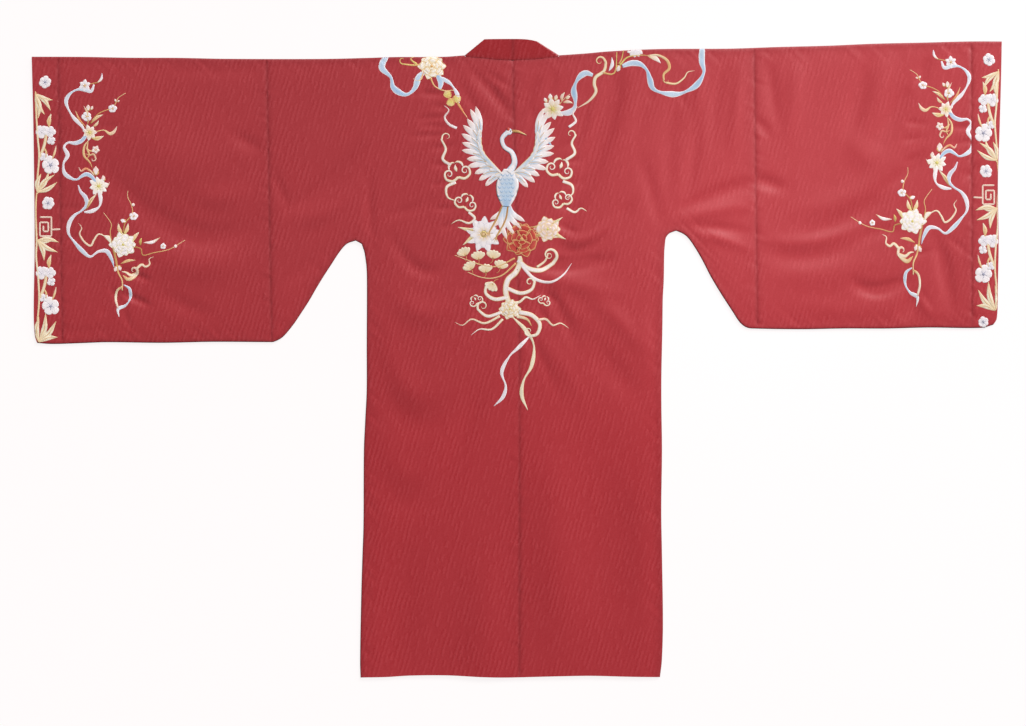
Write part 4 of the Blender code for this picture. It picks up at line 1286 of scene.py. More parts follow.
def blossom(hoop, radius, petals=5, colours=(PEARL, WHITE), shape=ROUNDED, heart=GOLD, turn=11):
    """Plum blossom, or with pointed petals a star-shaped flower."""
    half = radius * (0.47 if shape is ROUNDED else 0.36) * (5 / petals) ** 0.6
    for k in range(petals):
        one = hoop.at(0, 0, turn + 360 * k / petals)
        length = radius * (1 + 0.07 * math.sin(2.3 * k + radius))
        petal(one, 0.1 * radius, length, half, colours, shape, 0.04 * (k % 3))
    for k in range(petals):
        one = hoop.at(0, 0, turn + 360 * (k + 0.35) / petals)
        stroke(one, [(0.12 * radius, 0), (0.42 * radius, 0)], 0.28, [heart], None, CORD, 0.45, 0.3)
    dot(hoop, 0, 0, 0.16 * radius, [heart], 0.5)


def bud(hoop, x, y, turn, length, colours=(WHITE, BLUSH)):
    """A closed bud in its cup, pointing along turn."""
    one = hoop.at(x, y, turn)
    path = [(0, 0), (length / 2, 0.3), (length, 0)]
    stroke(one, path, 0.34 * length, colours, None, POINTED, 0.05, 0.5, True)
    for side in (-1, 1):
        sepal = length * np.array([(-0.1, 0), (0.2, 0.24 * side), (0.5, 0.26 * side)])
        stroke(one, sepal, 0.10 * length, [GOLD], None, TAPER, 0.15, 0.35)


# %% Peony, lotus and little fans
Ring = namedtuple("Ring", "count start reach uneven half lift turn shape")
PEONY_RINGS = [
    Ring(10, 0.40, 1.00, 0.10, 0.250, 0.00, 0, POINTED),
    Ring(7, 0.30, 0.82, 0.06, 0.310, 0.22, 22, ROUNDED),
    Ring(5, 0.14, 0.55, 0.05, 0.280, 0.44, 8, ROUNDED),
    Ring(3, 0.04, 0.30, 0.03, 0.170, 0.66, 35, ROUNDED),
]
PEONY_SQUASH = 0.92  # its height, as a share of its width
LOTUS_PETALS = 9  # in each of two rings


def peony(hoop, radius, colours, edge, heart):
    """Rings of broad petals, each outlined, that close towards the heart."""
    for ring in PEONY_RINGS:
        for k in range(ring.count):
            angle = ring.turn + 360 * k / ring.count
            reach = radius * ring.reach * (1 + ring.uneven * math.sin(2.9 * k + 5 * ring.reach + radius))
            reach *= 1 - (1 - PEONY_SQUASH) * abs(math.sin(math.radians(angle)))
            start, half = radius * ring.start, radius * ring.half
            petal(hoop.at(0, 0, angle), start, reach, half, colours, ring.shape, ring.lift, edge)
    dot(hoop, 0, 0, 0.10 * radius, [heart], 1.0)


def lotus(hoop, radius):
    """Two rings of pointed petals round a seed head."""
    for ring, (reach, lift) in enumerate(((1.0, 0.0), (0.72, 0.3))):
        for k in range(LOTUS_PETALS):
            one = hoop.at(0, 0, 360 * (k + 0.5 * ring) / LOTUS_PETALS + 7)
            length = radius * reach * (1 + 0.05 * math.sin(3.1 * k + ring))
            petal(one, 0.18 * radius, length, 0.19 * radius, [PALE_GOLD, WHITE, WHITE], POINTED, lift, PEARL)
    dot(hoop, 0, 0, 0.17 * radius, [PALE_GOLD], 0.75, LIME)
    for x, y in spiral(0, 0, 0.10 * radius, 0, 1.0, 0.9):
        dot(hoop, x, y, 0.028 * radius, [OCHRE], 1.25)


def fan_blossom(hoop, size):
    """A little fan on a stalk, like a ginkgo leaf."""
    for angle in (-44, -22, 0, 22, 44):
        one, lift = hoop.at(0, 0, 90 + angle), 0.03 * abs(angle) / 22
        petal(one, 0.12 * size, size, 0.21 * size, [PALE_GOLD, CREAM], ROUNDED, lift)
    stalk = size * np.array([(0, 0.3), (0, -0.2), (-0.25, -0.5)])
    stroke(hoop, stalk, 0.6, [GOLD], None, BRANCH, 0.35)


# %% Scrolls and clouds
def scroll(hoop, points, half, colours=(WHITE, CREAM), rim=GOLD, shape=TAIL):
    """A curling band, edged in gold."""
    stroke(hoop, points, half, colours, rim, shape, 0.1)


def cloud(hoop, size):
    """A cloud head: two curls that wind inwards below a middle lobe."""
    s, half = size, 0.075 * size
    for side in (-1, 1):
        one = hoop.at(0, 0, mirror=side)
        curl = [(0, -0.12 * s), (0.34 * s, -0.26 * s), (0.66 * s, -0.10 * s), (0.70 * s, 0.18 * s)]
        curl += spiral(0.46 * s, 0.16 * s, 0.22 * s, 50, 1.0, 0.25)
        scroll(one, curl, half, (CREAM, WHITE))
        lobe = [(0.40 * s, 0.36 * s), (0.36 * s, 0.60 * s), (0.16 * s, 0.74 * s), (0, 0.70 * s)]
        scroll(one, lobe, 0.9 * half, (WHITE, CREAM), GOLD, TAPER)
    middle = [(0, 0.20 * s), (-0.03 * s, 0.40 * s), (0.0, 0.60 * s)]
    stroke(hoop, middle, 1.3 * half, (CREAM, WHITE), GOLD, LEAF, 0.2)


# %% Bamboo and the fret
FRET_HALF = 1.3


def bamboo_fan(hoop, x, y, tips, half):
    """Leaves from one joint of the cane to each tip, paler in the middle, with a golden vein."""
    for k, tip in enumerate(tips):
        bow = 0.10 if k % 2 else -0.08
        leaf(hoop, (x, y), tip, half, [PALE_GOLD, CREAM, PALE_GOLD], bow, None, 0.12 * k, GOLD)


def cane(hoop, points):
    """A thin cane with golden edges."""
    stroke(hoop, points, 1.7, [PALE_GOLD, CREAM, PALE_GOLD], GOLD, CORD, 0.0, 0.6)


def fret_line(hoop, start, end):
    """One straight run of the fret."""
    stroke(hoop, [start, end], FRET_HALF, [BLUSH], CREAM, CORD, 0.05, 0.45)


def fret(hoop, width, height):
    """A square spiral, the thunder pattern, as one line of stitching for each straight run."""
    w, h = width / 2, height / 2
    corners = [(-w, h), (w, h), (w, -h), (-w, -h), (-w, 0.45 * h), (0.45 * w, 0.45 * h), (0.45 * w, -0.5 * h)]
    corners += [(-0.4 * w, -0.5 * h), (-0.4 * w, 0.1 * h)]
    for start, end in zip(corners[:-1], corners[1:]):
        fret_line(hoop, start, end)


# %% [markdown]
# ## The crane
#
# The middle of the back carries a crane with raised wings, the old wish for a long life. It is built as
# embroiderers work it: tail and far feathers first, then shorter ones over their roots, and the body, neck
# and head last, so that each row covers the stitches where the row before begins.

# %% Feathers and wings
WING_ARM = [(7, 14), (26, 28), (44, 46), (56, 70)]


def feathers(hoop, count, angles, lengths, half, colours, rim, lift, bow, shaft=None):
    """A row of feathers along the wing's arm, turned evenly from the first of the angles to the last."""
    path = smooth_path(WING_ARM, 1.0)
    for k in range(count):
        share = k / (count - 1)
        x, y = path[round(share * (len(path) - 1))]
        length = (lengths[0] + (lengths[1] - lengths[0]) * share) * (1 + 0.05 * math.sin(2.7 * k))
        one = hoop.at(x, y, angles[0] + (angles[1] - angles[0]) * share)
        spine = [(0, 0), (0.5 * length, bow * length), (length, 0)]
        stroke(one, spine, half, colours, rim, FEATHER, lift + 0.03 * k, 0.5)
        if shaft is not None:
            stroke(one, spine, 0.4, [shaft], None, CORD, lift + 0.03 * k + 0.42, 0.2)


def wing(hoop):
    """One raised wing, to the right of the body."""
    feathers(hoop, 12, (-36, 84), (36, 60), 5.0, [BLUE, PEARL, WHITE, BLUSH], WHITE, 0.0, 0.10)
    feathers(hoop, 10, (-28, 92), (27, 38), 4.2, [SKY, BLUE, BLUE, WHITE], WHITE, 0.45, 0.08, GOLD)
    feathers(hoop, 8, (-14, 100), (15, 19), 3.6, [BLUE, WHITE], PALE_GOLD, 0.85, 0.05)
    stroke(hoop, WING_ARM, 3.8, [WHITE, BLUE, WHITE], PALE_GOLD, TAPER, 1.1, 0.5)


# %% The bird
BODY_SHAPE = [(0.0, 0.35), (0.3, 0.85), (0.6, 1.0), (0.85, 0.72), (1.0, 0.42)]
NECK_SHAPE = [(0.0, 1.0), (0.3, 0.70), (0.7, 0.52), (1.0, 0.60)]


def crane(hoop):
    """A crane seen from its back, with its wings raised and its head turned."""
    for k, angle in enumerate((232, 308, 244, 296, 257, 283, 270)):
        length = 46 + 4 * k
        one = hoop.at(0, -26, angle)
        side = 0.16 if angle < 270 else -0.16
        spine = [(0, 0), (0.5 * length, side * length), (length, 0)]
        stroke(one, spine, 4.4, [SKY, BLUE, WHITE, BLUSH], WHITE, FEATHER, 0.1 + 0.05 * k, 0.5)
    for foot in ([(-4, -30), (-16, -58), (-30, -84)], [(3, -30), (-2, -62), (-18, -92)]):
        stroke(hoop, foot, 1.3, [OCHRE, GOLD], None, CORD, 0.75, 0.4)
        for turn in (215, 245, 275):
            stroke(hoop.at(*foot[-1], turn), [(0, 0), (9, 1)], 0.7, [GOLD], None, TAIL, 0.75, 0.3)
    wing(hoop)
    wing(hoop.at(0, 0, -4, 1.0, -1))
    spine = [(-1, -40), (0, -16), (2, 6), (3, 24)]
    stroke(hoop, spine, 19, [SKY, BLUE, BLUE, WHITE], WHITE, BODY_SHAPE, 0.9, 0.8)
    for row, y in enumerate(range(-28, 16, 7)):
        for k in range(-1 - row % 2, 2):
            x = 7.5 * (k + 0.5 * (row % 2)) + 0.08 * y
            scale = [(x - 3.4, y + 2.2), (x, y - 1.8), (x + 3.4, y + 2.2)]
            stroke(hoop, scale, 0.6, [SKY], None, TAPER, 1.75, 0.2)
    neck = [(3, 18), (13, 34), (9, 52), (-4, 62), (-8, 76), (1, 87)]
    stroke(hoop, neck, 6.4, [WHITE, WHITE, PEARL], BLUE, NECK_SHAPE, 1.1, 0.8)
    dot(hoop, 4, 88, 5.4, [WHITE, PEARL], 1.3, BLUE)
    stroke(hoop, [(8, 89), (20, 88), (34, 82)], 2.1, [OCHRE, GOLD, PALE_GOLD], None, TAIL, 1.4, 0.5)
    dot(hoop, 2.5, 92, 2.9, [SCARLET, CORAL], 1.7)
    dot(hoop, 6.5, 89, 0.9, [INK], 2.0)


# %% [markdown]
# ## The middle of the back
#
# The design hangs from the bird: clouds beside its wings, a spray of flowers under its tail, and a
# scrolling stem that ends in two ribbons. All places are millimetres from the middle of the robe.

# %% Clouds and the bird
back = Hoop(0.0, 0.0)
Cloud = namedtuple("Cloud", "x y turn size mirror")
CLOUDS = [
    Cloud(-118, 366, 14, 36, 1),
    Cloud(-104, 306, -20, 30, -1),
    Cloud(84, 372, -16, 36, -1),
    Cloud(92, 312, 22, 28, 1),
]
for item in CLOUDS:
    cloud(back.at(item.x, item.y, item.turn, 1.0, item.mirror), item.size)
scroll(back, [(-132, 386), (-148, 398), (-142, 418), (-150, 436)] + spiral(-140, 442, 10, 200, -0.8), 3.0)
scroll(back, [(-122, 352), (-140, 342), (-138, 322), (-120, 314)], 3.2)
scroll(back, [(-120, 460), (-136, 468), (-144, 482), (-136, 496), (-146, 506)], 2.4, (WHITE, BLUSH), WHITE)
scroll(back, [(-96, 292), (-84, 280), (-96, 270), (-116, 276), (-132, 268)], 2.8)
scroll(back, [(98, 396), (116, 410), (110, 430), (118, 446)] + spiral(108, 448, 9, -10, 0.8), 3.0)
scroll(back, [(92, 354), (110, 346), (112, 330), (100, 320)], 3.2)
scroll(back, [(104, 462), (118, 474), (112, 490), (122, 504)], 2.4, (WHITE, BLUSH), WHITE)
scroll(back, [(100, 300), (116, 292), (128, 300), (140, 294)], 2.6)
crane(back.at(-20, 350, 0, 1.17))
print("Clouds, scrolls and the bird:", len(back.strokes), "strokes")

# %% The spray under the bird
Leaf = namedtuple("Leaf", "start end half bend lift")
LEAVES = [
    Leaf((-40, 262), (-118, 262), 6.5, 0.10, 0.0),
    Leaf((-46, 250), (-108, 226), 6.0, -0.14, 0.1),
    Leaf((30, 262), (92, 282), 6.0, -0.12, 0.0),
    Leaf((34, 244), (98, 238), 6.0, 0.14, 0.1),
]
for item in LEAVES:
    leaf(back, item.start, item.end, item.half, [OCHRE, LIME, CREAM], item.bend, PALE_GOLD, item.lift, OCHRE)
lotus(back.at(-66, 248), 36)
peony(back.at(62, 258), 26, [CREAM, BLUSH, WHITE], PALE_GOLD, LIME)
peony(back.at(10, 238), 37, [SCARLET, SCARLET, CORAL], GOLD, GOLD)
stalk = [GOLD, PALE_GOLD]
stroke(back, [(-2, 190), (-26, 168), (-48, 160), (-72, 162), (-98, 172)], 1.7, stalk, None, BRANCH, 0.1)
stroke(back, [(-4, 200), (-38, 184), (-68, 186), (-98, 196), (-124, 206)], 1.5, stalk, None, BRANCH, 0.1)
FANS = [(-102, 204, 24), (-76, 196, 8), (-48, 198, -8), (-90, 176, 30), (-62, 170, 4), (-34, 178, -16)]
FANS += [(-46, 152, 150)]
for x, y, turn in FANS:
    fan_blossom(back.at(x, y, turn), 19)
print("With the spray:", len(back.strokes), "strokes")

# %% The scrolling stem
stem = [(6, 204), (6, 190), (-2, 172), (-18, 156), (-22, 132), (-14, 106)]
scroll(back, stem, 5.6, (CREAM, WHITE, CREAM), GOLD, CORD)
scroll(back, [(2, 196), (22, 180), (48, 176), (70, 188)] + spiral(66, 206, 16, -60, 1.1), 5.2)
scroll(back, [(40, 182), (56, 194), (62, 208)] + spiral(66, 204, 7, 160, -0.6), 2.4, (CREAM, BLUSH), GOLD)
scroll(back, [(10, 186), (34, 160), (66, 152), (92, 166), (110, 190)], 3.4, (WHITE, PEARL), BLUSH)
scroll(back, [(-20, 140), (8, 130), (30, 138), (36, 156)] + spiral(26, 152, 9, 10, 0.9), 4.2)
scroll(back, [(-18, 122), (-44, 118), (-62, 130), (-60, 148)] + spiral(-50, 144, 9, 160, -0.9), 4.2)
scroll(back, [(-16, 112), (4, 112), (18, 122), (32, 118), (48, 126)], 2.8, (CREAM, WHITE), GOLD)
cloud(back.at(54, 112, -24, 1.0), 17)
peony(back.at(-14, 98), 21, [PALE_GOLD, CREAM, WHITE], PALE_GOLD, LIME)
scroll(back, [(-30, 92), (-58, 84), (-76, 96)] + spiral(-68, 104, 11, 200, -1.0), 3.4)
scroll(back, [(-34, 84), (-64, 70), (-90, 78), (-108, 66), (-124, 72)], 2.4, (CREAM, BLUSH), GOLD)
scroll(back, [(-28, 78), (-50, 58), (-74, 58), (-92, 46)], 2.4, (CREAM, WHITE), GOLD)
cloud(back.at(-80, 112, 30, 1.0, -1), 19)
curl = [(4, 92), (30, 86), (46, 68), (40, 48), (22, 44)] + spiral(24, 54, 9, -90, -0.9)
scroll(back, curl, 4.6, rim=PALE_GOLD)
scroll(back, [(0, 84), (20, 78), (30, 64)], 3.4, (CREAM, GOLD), GOLD)
scroll(back, [(40, 76), (58, 78), (72, 66), (88, 70), (104, 60)], 2.4, (BLUSH, CREAM), GOLD)

# %% The two ribbons
golden = [(-8, 82), (18, 56), (34, 26), (30, -14), (14, -44), (10, -74), (22, -104)]
ribbon(back, golden, 4.2, 3, (CREAM, CREAM), PALE_GOLD)
white = [(28, 46), (4, 22), (-16, 2), (-30, -28), (-22, -56), (-28, -78), (-46, -96)]
ribbon(back, white, 3.8, 3, (WHITE, PEARL), WHITE)
sew(back, "embroidery_back", THREAD_SHADING["back"])

# %% [markdown]
# ## Garlands on the shoulders
#
# A garland lies over each shoulder and goes on down the front, so its flowers are cut by the fold. Stitches
# past the fold turn round it with the cloth.

# %% Work the left garland
garland = Hoop(0.0, 0.0)
path = [(-260, 606), (-270, 582), (-252, 562), (-246, 540), (-222, 527), (-204, 540), (-196, 562)]
ribbon(garland, path + [(-182, 574)], 6.6, 3, (BLUE, SKY, BLUE), WHITE, (0.9, 0.6))
path = [(-156, 562), (-134, 550), (-120, 530), (-115, 510)]
ribbon(garland, path, 4.2, 2, (BLUE, PEARL), WHITE, (0.8, 0.2))
ribbon(garland, [(-158, 566), (-152, 552), (-154, 538)], 6.0, 1, (SKY, BLUE), WHITE, (0.8, 0.5))
path = [(-172, 560), (-164, 544), (-146, 535), (-126, 536)]
stroke(garland, path, 1.6, [GOLD, PALE_GOLD], None, BRANCH, 0.1)
stroke(garland, [(-118, 510), (-108, 494), (-98, 480)], 2.0, [GOLD, ORANGE, PALE_GOLD], None, TAIL)
wisp = [(-186, 574), (-192, 558), (-200, 555), (-208, 560)]
stroke(garland, wisp, 2.0, [ORANGE, PALE_GOLD, BLUSH], None, TAIL)
scroll(garland, [(-186, 588), (-206, 586), (-226, 588)] + spiral(-228, 596, 8, -90, -0.7), 1.8, (GOLD, LIME))
scroll(garland, [(-200, 588), (-212, 598), (-204, 604)], 1.8, (LIME, GOLD))
for x, y, turn in ((-133, 521, 128), (-131, 520, 262), (-127, 523, 330)):
    petal(garland.at(x, y, turn), 0, 16, 7.0, [GOLD, LIME, PALE_GOLD], ROUNDED, 0.1, GOLD)
peony(garland.at(-170, 584), 27, [PALE_GOLD, CREAM, WHITE], PALE_GOLD, GOLD)
sew(garland, "embroidery_shoulder_left", THREAD_SHADING["left"])

# %% Ribbons and scrolls of the right garland
garland = Hoop(0.0, 0.0)
path = [(371, 622), (370, 594), (374, 572), (362, 549), (344, 536), (320, 528), (290, 531)]
path += [(272, 540), (266, 558), (260, 576), (247, 588), (229, 590), (211, 584)]
ribbon(garland, path, 6.4, 5, (BLUE, SKY, BLUE, SKY, BLUE), WHITE, (0.9, 0.6))
path = [(152, 566), (137, 570), (122, 558), (114, 537), (117, 517), (115, 500), (103, 491), (84, 490)]
ribbon(garland, path, 6.6, 3, (BLUE, SKY, PEARL), WHITE, (0.5, 0.3))
ribbon(garland, [(64, 486), (52, 472), (50, 456), (57, 440), (70, 425)], 4.6, 2, (WHITE, BLUE, SKY), WHITE)
path = [(121, 500), (144, 514), (158, 532), (155, 548), (158, 562), (174, 574), (178, 590)]
scroll(garland, path + spiral(166, 594, 10, 10, 1.0), 3.4, (BLUSH, CREAM, PALE_GOLD), GOLD, TAPER)
stroke(garland, [(172, 571), (190, 568), (198, 578), (200, 612)], 1.7, [GOLD, LIME], None, BRANCH, 0.2)
stroke(garland, [(204, 588), (210, 600), (214, 620)], 1.4, [GOLD, LIME], None, BRANCH, 0.1)
stroke(garland, [(206, 586), (222, 602), (250, 606), (268, 604)], 1.6, [LIME, GOLD], None, BRANCH, 0.2)
path = [(262, 606), (282, 606), (300, 596), (305, 580), (294, 568), (294, 556)]
scroll(garland, path + spiral(300, 556, 7, 180, 0.6), 2.8, (CREAM, GOLD, PALE_GOLD), GOLD, TAPER)
scroll(garland, [(298, 551), (318, 549), (334, 560), (342, 572), (356, 575)], 2.0, (PALE_GOLD, CREAM))
print("Ribbons and scrolls:", len(garland.strokes), "strokes")

# %% Leaves and flowers of the right garland
leaf(garland, (184, 574), (190, 602), 3.6, [PEARL, WHITE], -0.14)
leaf(garland, (262, 604), (288, 590), 5.0, [PALE_GOLD, WHITE], 0.12)
bud(garland, 205, 585, 250, 13)
for turn in (205, 235, 265, 295, 325):
    petal(garland.at(237, 619, turn), 3, 18, 5.6, [PEARL, WHITE], POINTED, 0.05, rim=BLUSH)
stroke(garland, [(84, 506), (96, 520), (106, 528)], 1.0, [GOLD, BLUSH], None, BRANCH)
leaf(garland, (90, 513), (96, 532), 3.4, [GOLD, BLUSH, CREAM], 0.14)
leaf(garland, (92, 511), (112, 510), 3.2, [GOLD, BLUSH, CREAM], 0.12)
bud(garland, 98, 519, 30, 10, (BLUSH, CREAM))
bud(garland, 68, 516, 96, 13, (CREAM, WHITE))
bud(garland, 60, 512, 118, 10, (CREAM, WHITE))
bud(garland, 77, 516, 74, 11, (CREAM, BLUSH))
blossom(garland.at(72, 498), 23, 8, (PALE_GOLD, WHITE), POINTED, LIME)
blossom(garland.at(72, 498), 15, 6, (LIME, WHITE), POINTED, GOLD, 30)
sew(garland, "embroidery_shoulder_right", THREAD_SHADING["right"])

# %% [markdown]
# ## Sprays on the sleeves
#
# Both sleeves carry the same spray, worked before the cuff was sewn on. It is drawn once, in millimetres
# inwards from the cuff's seam and upwards from the shoulder, and mirrored for the other side.

# %% Top of the spray
def twig(hoop, points, half=1.0):
    """A plum twig, paler towards its tip."""
    stroke(hoop, points, half, [OCHRE, GOLD, PALE_GOLD], None, BRANCH, 0.05, 0.4)


def spray_top(hoop):
    """The upper ribbon, from the small flower that it starts from, and the first plum twig."""
    stroke(hoop, [(89, -33), (87, -45), (78, -53)], 2.3, [LILAC, WHITE, PALE_GOLD])
    twig(hoop, [(80, -52), (68, -54), (60, -56)])
    path = [(73, -56), (67, -69), (54, -66), (39, -66), (25, -74), (17, -88), (21, -104), (32, -122)]
    path += [(46, -136), (54, -148)]
    ribbon(hoop, path, 4.1, 3, (PEARL, BLUE, PEARL, PEARL), WHITE, (0.4, 0.4))
    blossom(hoop.at(54, -58), 12.5, 6, shape=POINTED, turn=25)
    leaf(hoop, (60, -138), (52, -98), 2.8, [OCHRE, PALE_GOLD, BLUSH], -0.12)
    leaf(hoop, (58, -142), (35, -107), 2.0, [OCHRE, ORANGE, PALE_GOLD], 0.08)
    leaf(hoop, (66, -134), (91, -116), 3.2, [OCHRE, PALE_GOLD, CREAM], 0.10, None, 0.1, GOLD)
    leaf(hoop, (70, -140), (82, -128), 2.6, [GOLD, CREAM], -0.12)
    blossom(hoop.at(58, -120), 10, turn=40)
    bud(hoop, 61, -108, 88, 12)
    bud(hoop, 67, -106, 62, 8)
    twig(hoop, [(66, -134), (78, -117), (94, -108), (108, -104), (117, -92), (122, -82), (136, -73)], 1.2)
    blossom(hoop.at(110, -104), 8.5)
    bud(hoop, 117, -90, 110, 6)
    bud(hoop, 120, -90, 20, 5)


# %% The two star flowers
STREAMER = [(0.0, 0.3), (0.35, 0.35), (0.7, 1.0), (1.0, 0.08)]


def first_star(hoop):
    """The first star flower, with its ribbon, and gold wisps that curl round a small blossom."""
    path = [(74, -151), (92, -147), (104, -154), (113, -150), (119, -139)]
    stroke(hoop, path, 3.4, [GOLD, PALE_GOLD, BLUSH], None, STREAMER)
    leaf(hoop, (68, -163), (92, -159), 4.4, [LIME, PALE_GOLD, CREAM], -0.10, None, 0.0, GOLD)
    path = [(57, -157), (48, -168), (35, -173), (21, -172), (13, -181), (20, -197), (12, -213), (13, -231)]
    path += [(23, -241), (37, -246), (47, -240), (57, -235), (67, -239), (76, -250)]
    ribbon(hoop, path, 4.3, 4, (SKY, PEARL, PEARL, BLUE, SKY), WHITE, (0.8, 0.6))
    blossom(hoop.at(64, -152), 15.5, 7, (PALE_GOLD, WHITE), POINTED, LIME, 5)
    wisp = [PALE_GOLD, GOLD]
    stroke(hoop, [(63, -166), (53, -180), (53, -198), (64, -211), (70, -224)], 2.0, wisp, lift=0.1)
    stroke(hoop, [(61, -170), (59, -184), (63, -196), (58, -206)], 1.6, wisp, lift=0.1)
    stroke(hoop, [(56, -182), (63, -188), (72, -190)], 1.5, wisp, lift=0.1)
    curl = [(55, -194), (64, -197), (72, -195), (76, -203)] + spiral(71, -205, 5, 0, -0.7)
    stroke(hoop, curl, 1.6, [GOLD, BLUSH], lift=0.1)
    blossom(hoop.at(76, -186), 9, 5, (WHITE, BLUSH), POINTED, GOLD, 60)
    path = [(42, -221), (47, -229), (56, -224), (66, -229), (74, -239)]
    stroke(hoop, path, 2.0, [BLUSH, ORANGE, CREAM], lift=0.1)
    bud(hoop, 77, -236, 92, 17)
    bud(hoop, 92, -248, 95, 11)


def second_star(hoop):
    """The second star flower, with its own ribbon and a long streamer."""
    leaf(hoop, (57, -306), (78, -274), 3.6, [OCHRE, PALE_GOLD, CREAM], 0.06, None, 0.1, OCHRE)
    path = [(82, -266), (86, -284), (83, -300), (68, -309), (53, -311)]
    ribbon(hoop, path, 4.0, 2, (WHITE, PEARL), WHITE, (0.8, 0.4))
    path = [(41, -257), (46, -270), (56, -282), (58, -296), (48, -308), (33, -318), (23, -334), (22, -354)]
    path += [(34, -371), (49, -388), (65, -400), (81, -390), (98, -389), (108, -405), (113, -422)]
    ribbon(hoop, path, 4.4, 4, (LILAC, BLUE, PEARL, BLUE, PEARL, SKY), WHITE)
    blossom(hoop.at(82, -259), 20, 8, (CREAM, WHITE), POINTED, LIME, 12)
    stroke(hoop, [(97, -262), (104, -251)], 1.6, [CREAM, BLUSH], None, TAIL, 0.1)


# %% The peony's group and the tail
TAIL_FROM = -392  # where the tail of the spray starts


def peony_group(hoop, tail):
    """A peony with twigs on three sides. The lowest twig is in the tail, which may be stretched."""
    path = [(42, -333), (48, -343), (44, -355), (54, -371), (66, -378), (73, -366), (82, -355), (95, -360)]
    scroll(hoop, path + [(104, -372)], 1.9, (BLUSH, CREAM), PALE_GOLD, TAPER)
    leaf(hoop, (92, -358), (106, -374), 5.0, [WHITE, CREAM], 0.2, PALE_GOLD, 0.1)
    twig(hoop, [(110, -380), (105, -352), (107, -334), (92, -312)], 1.2)
    twig(hoop, [(131, -352), (135, -333), (149, -314), (147, -296), (140, -281), (140, -268)], 1.2)
    blossom(hoop.at(152, -319), 8.5)
    bud(hoop, 136, -330, 160, 11, (WHITE, WHITE))
    dot(hoop, 151, -296, 3.2, [WHITE, BLUSH])
    leaf(hoop, (130, -356), (121, -333), 3.8, [LIME, PALE_GOLD, CREAM], 0.1)
    leaf(hoop, (132, -356), (141, -333), 3.8, [LIME, PALE_GOLD, CREAM], -0.1)
    leaf(hoop, (150, -371), (163, -351), 3.8, [LIME, PALE_GOLD, CREAM], 0.1)
    leaf(hoop, (166, -378), (168, -362), 2.8, [OCHRE, LIME], 0.10)
    leaf(hoop, (172, -372), (204, -362), 3.2, [BLUSH, WHITE, PALE_GOLD], -0.12)
    twig(hoop, [(150, -380), (166, -384), (171, -397), (193, -392), (224, -385), (254, -367)], 1.2)
    blossom(hoop.at(211, -379), 6)
    dot(hoop, 236, -379, 3.2, [WHITE, BLUSH])
    twig(tail, [(110, -376), (116, -404), (121, -431), (129, -448), (129, -468)], 2.8)
    bud(tail, 118, -420, 245, 11)
    bud(tail, 122, -418, 290, 11)
    leaf(tail, (126, -414), (156, -407), 2.8, [GOLD, PALE_GOLD], 0.08)
    peony(hoop.at(131, -376), 26, [CREAM, WHITE, WHITE], CREAM, LIME)


def spray_tail(tail):
    """Cloud curls, and the ribbon's loop below them."""
    curl = [(128, -430), (136, -431), (146, -437), (158, -434)] + spiral(152, -428, 8, -20, 0.8)
    scroll(tail, curl, 3.2, (CREAM, BLUSH), GOLD, TAPER)
    scroll(tail, [(130, -437), (140, -445), (150, -442), (162, -434)], 3.6, (GOLD, CREAM), GOLD, TAPER)
    curl = [(158, -424), (168, -416), (176, -420), (184, -415), (183, -405), (192, -400)]
    scroll(tail, curl, 2.6, (CREAM, BLUSH))
    path = [(129, -460), (119, -468), (116, -485), (121, -503)]
    stroke(tail, path, 1.9, [GOLD, CREAM, BLUSH], None, CORD, 0.1)
    path = [(132, -456), (144, -465), (145, -483), (136, -497), (121, -505), (123, -521)]
    ribbon(tail, path, 3.4, 2, (BLUE, BLUE, WHITE), WHITE)


# %% Work the sprays
def sleeve_spray(hoop, tail_stretch):
    """Two ribbons wind down the sleeve, with star flowers, plum twigs and a peony tied to them."""
    tail = hoop.at(0, TAIL_FROM * (1 - tail_stretch))
    tail.matrix[:, 1] *= tail_stretch
    spray_top(hoop)
    first_star(hoop)
    second_star(hoop)
    peony_group(hoop, tail)
    spray_tail(tail)


# how far the spray is moved outwards and upwards on each sleeve, in metres, and how long its tail was
# worked
SPRAY_PLACE = {"left": (0.0, 0.0, 1.0), "right": (0.013, 0.016, 1.2)}
for side, cut in CUTS.items():
    out, up, tail_stretch = SPRAY_PLACE[side]
    corner = cut.cuff_seam[0]
    spray = Hoop(corner[0] + cut.sign * out, corner[1] + up, mirror=-cut.sign)
    sleeve_spray(spray, tail_stretch)
    sew(spray, "embroidery_sleeve_" + side, SLEEVE_THREAD_SHADING[side], cut, within=True)

# %% [markdown]
# ## Borders on the cuffs
#
# A band of bamboo and plum, two of the three friends of winter, runs down each cuff. The same group repeats
# along the band, with a square fret between.

# %% The border
PLUM_HEART = "#A4A2B6"
PLUMS = [(-32, -150, 13, 5), (-16, -150, 12, 5), (-13, -168, 8.5, 4), (-28, -200, 9, 4)]  # x y radius petals
GROUP_DROP = -282  # millimetres from the first group of plums to the next


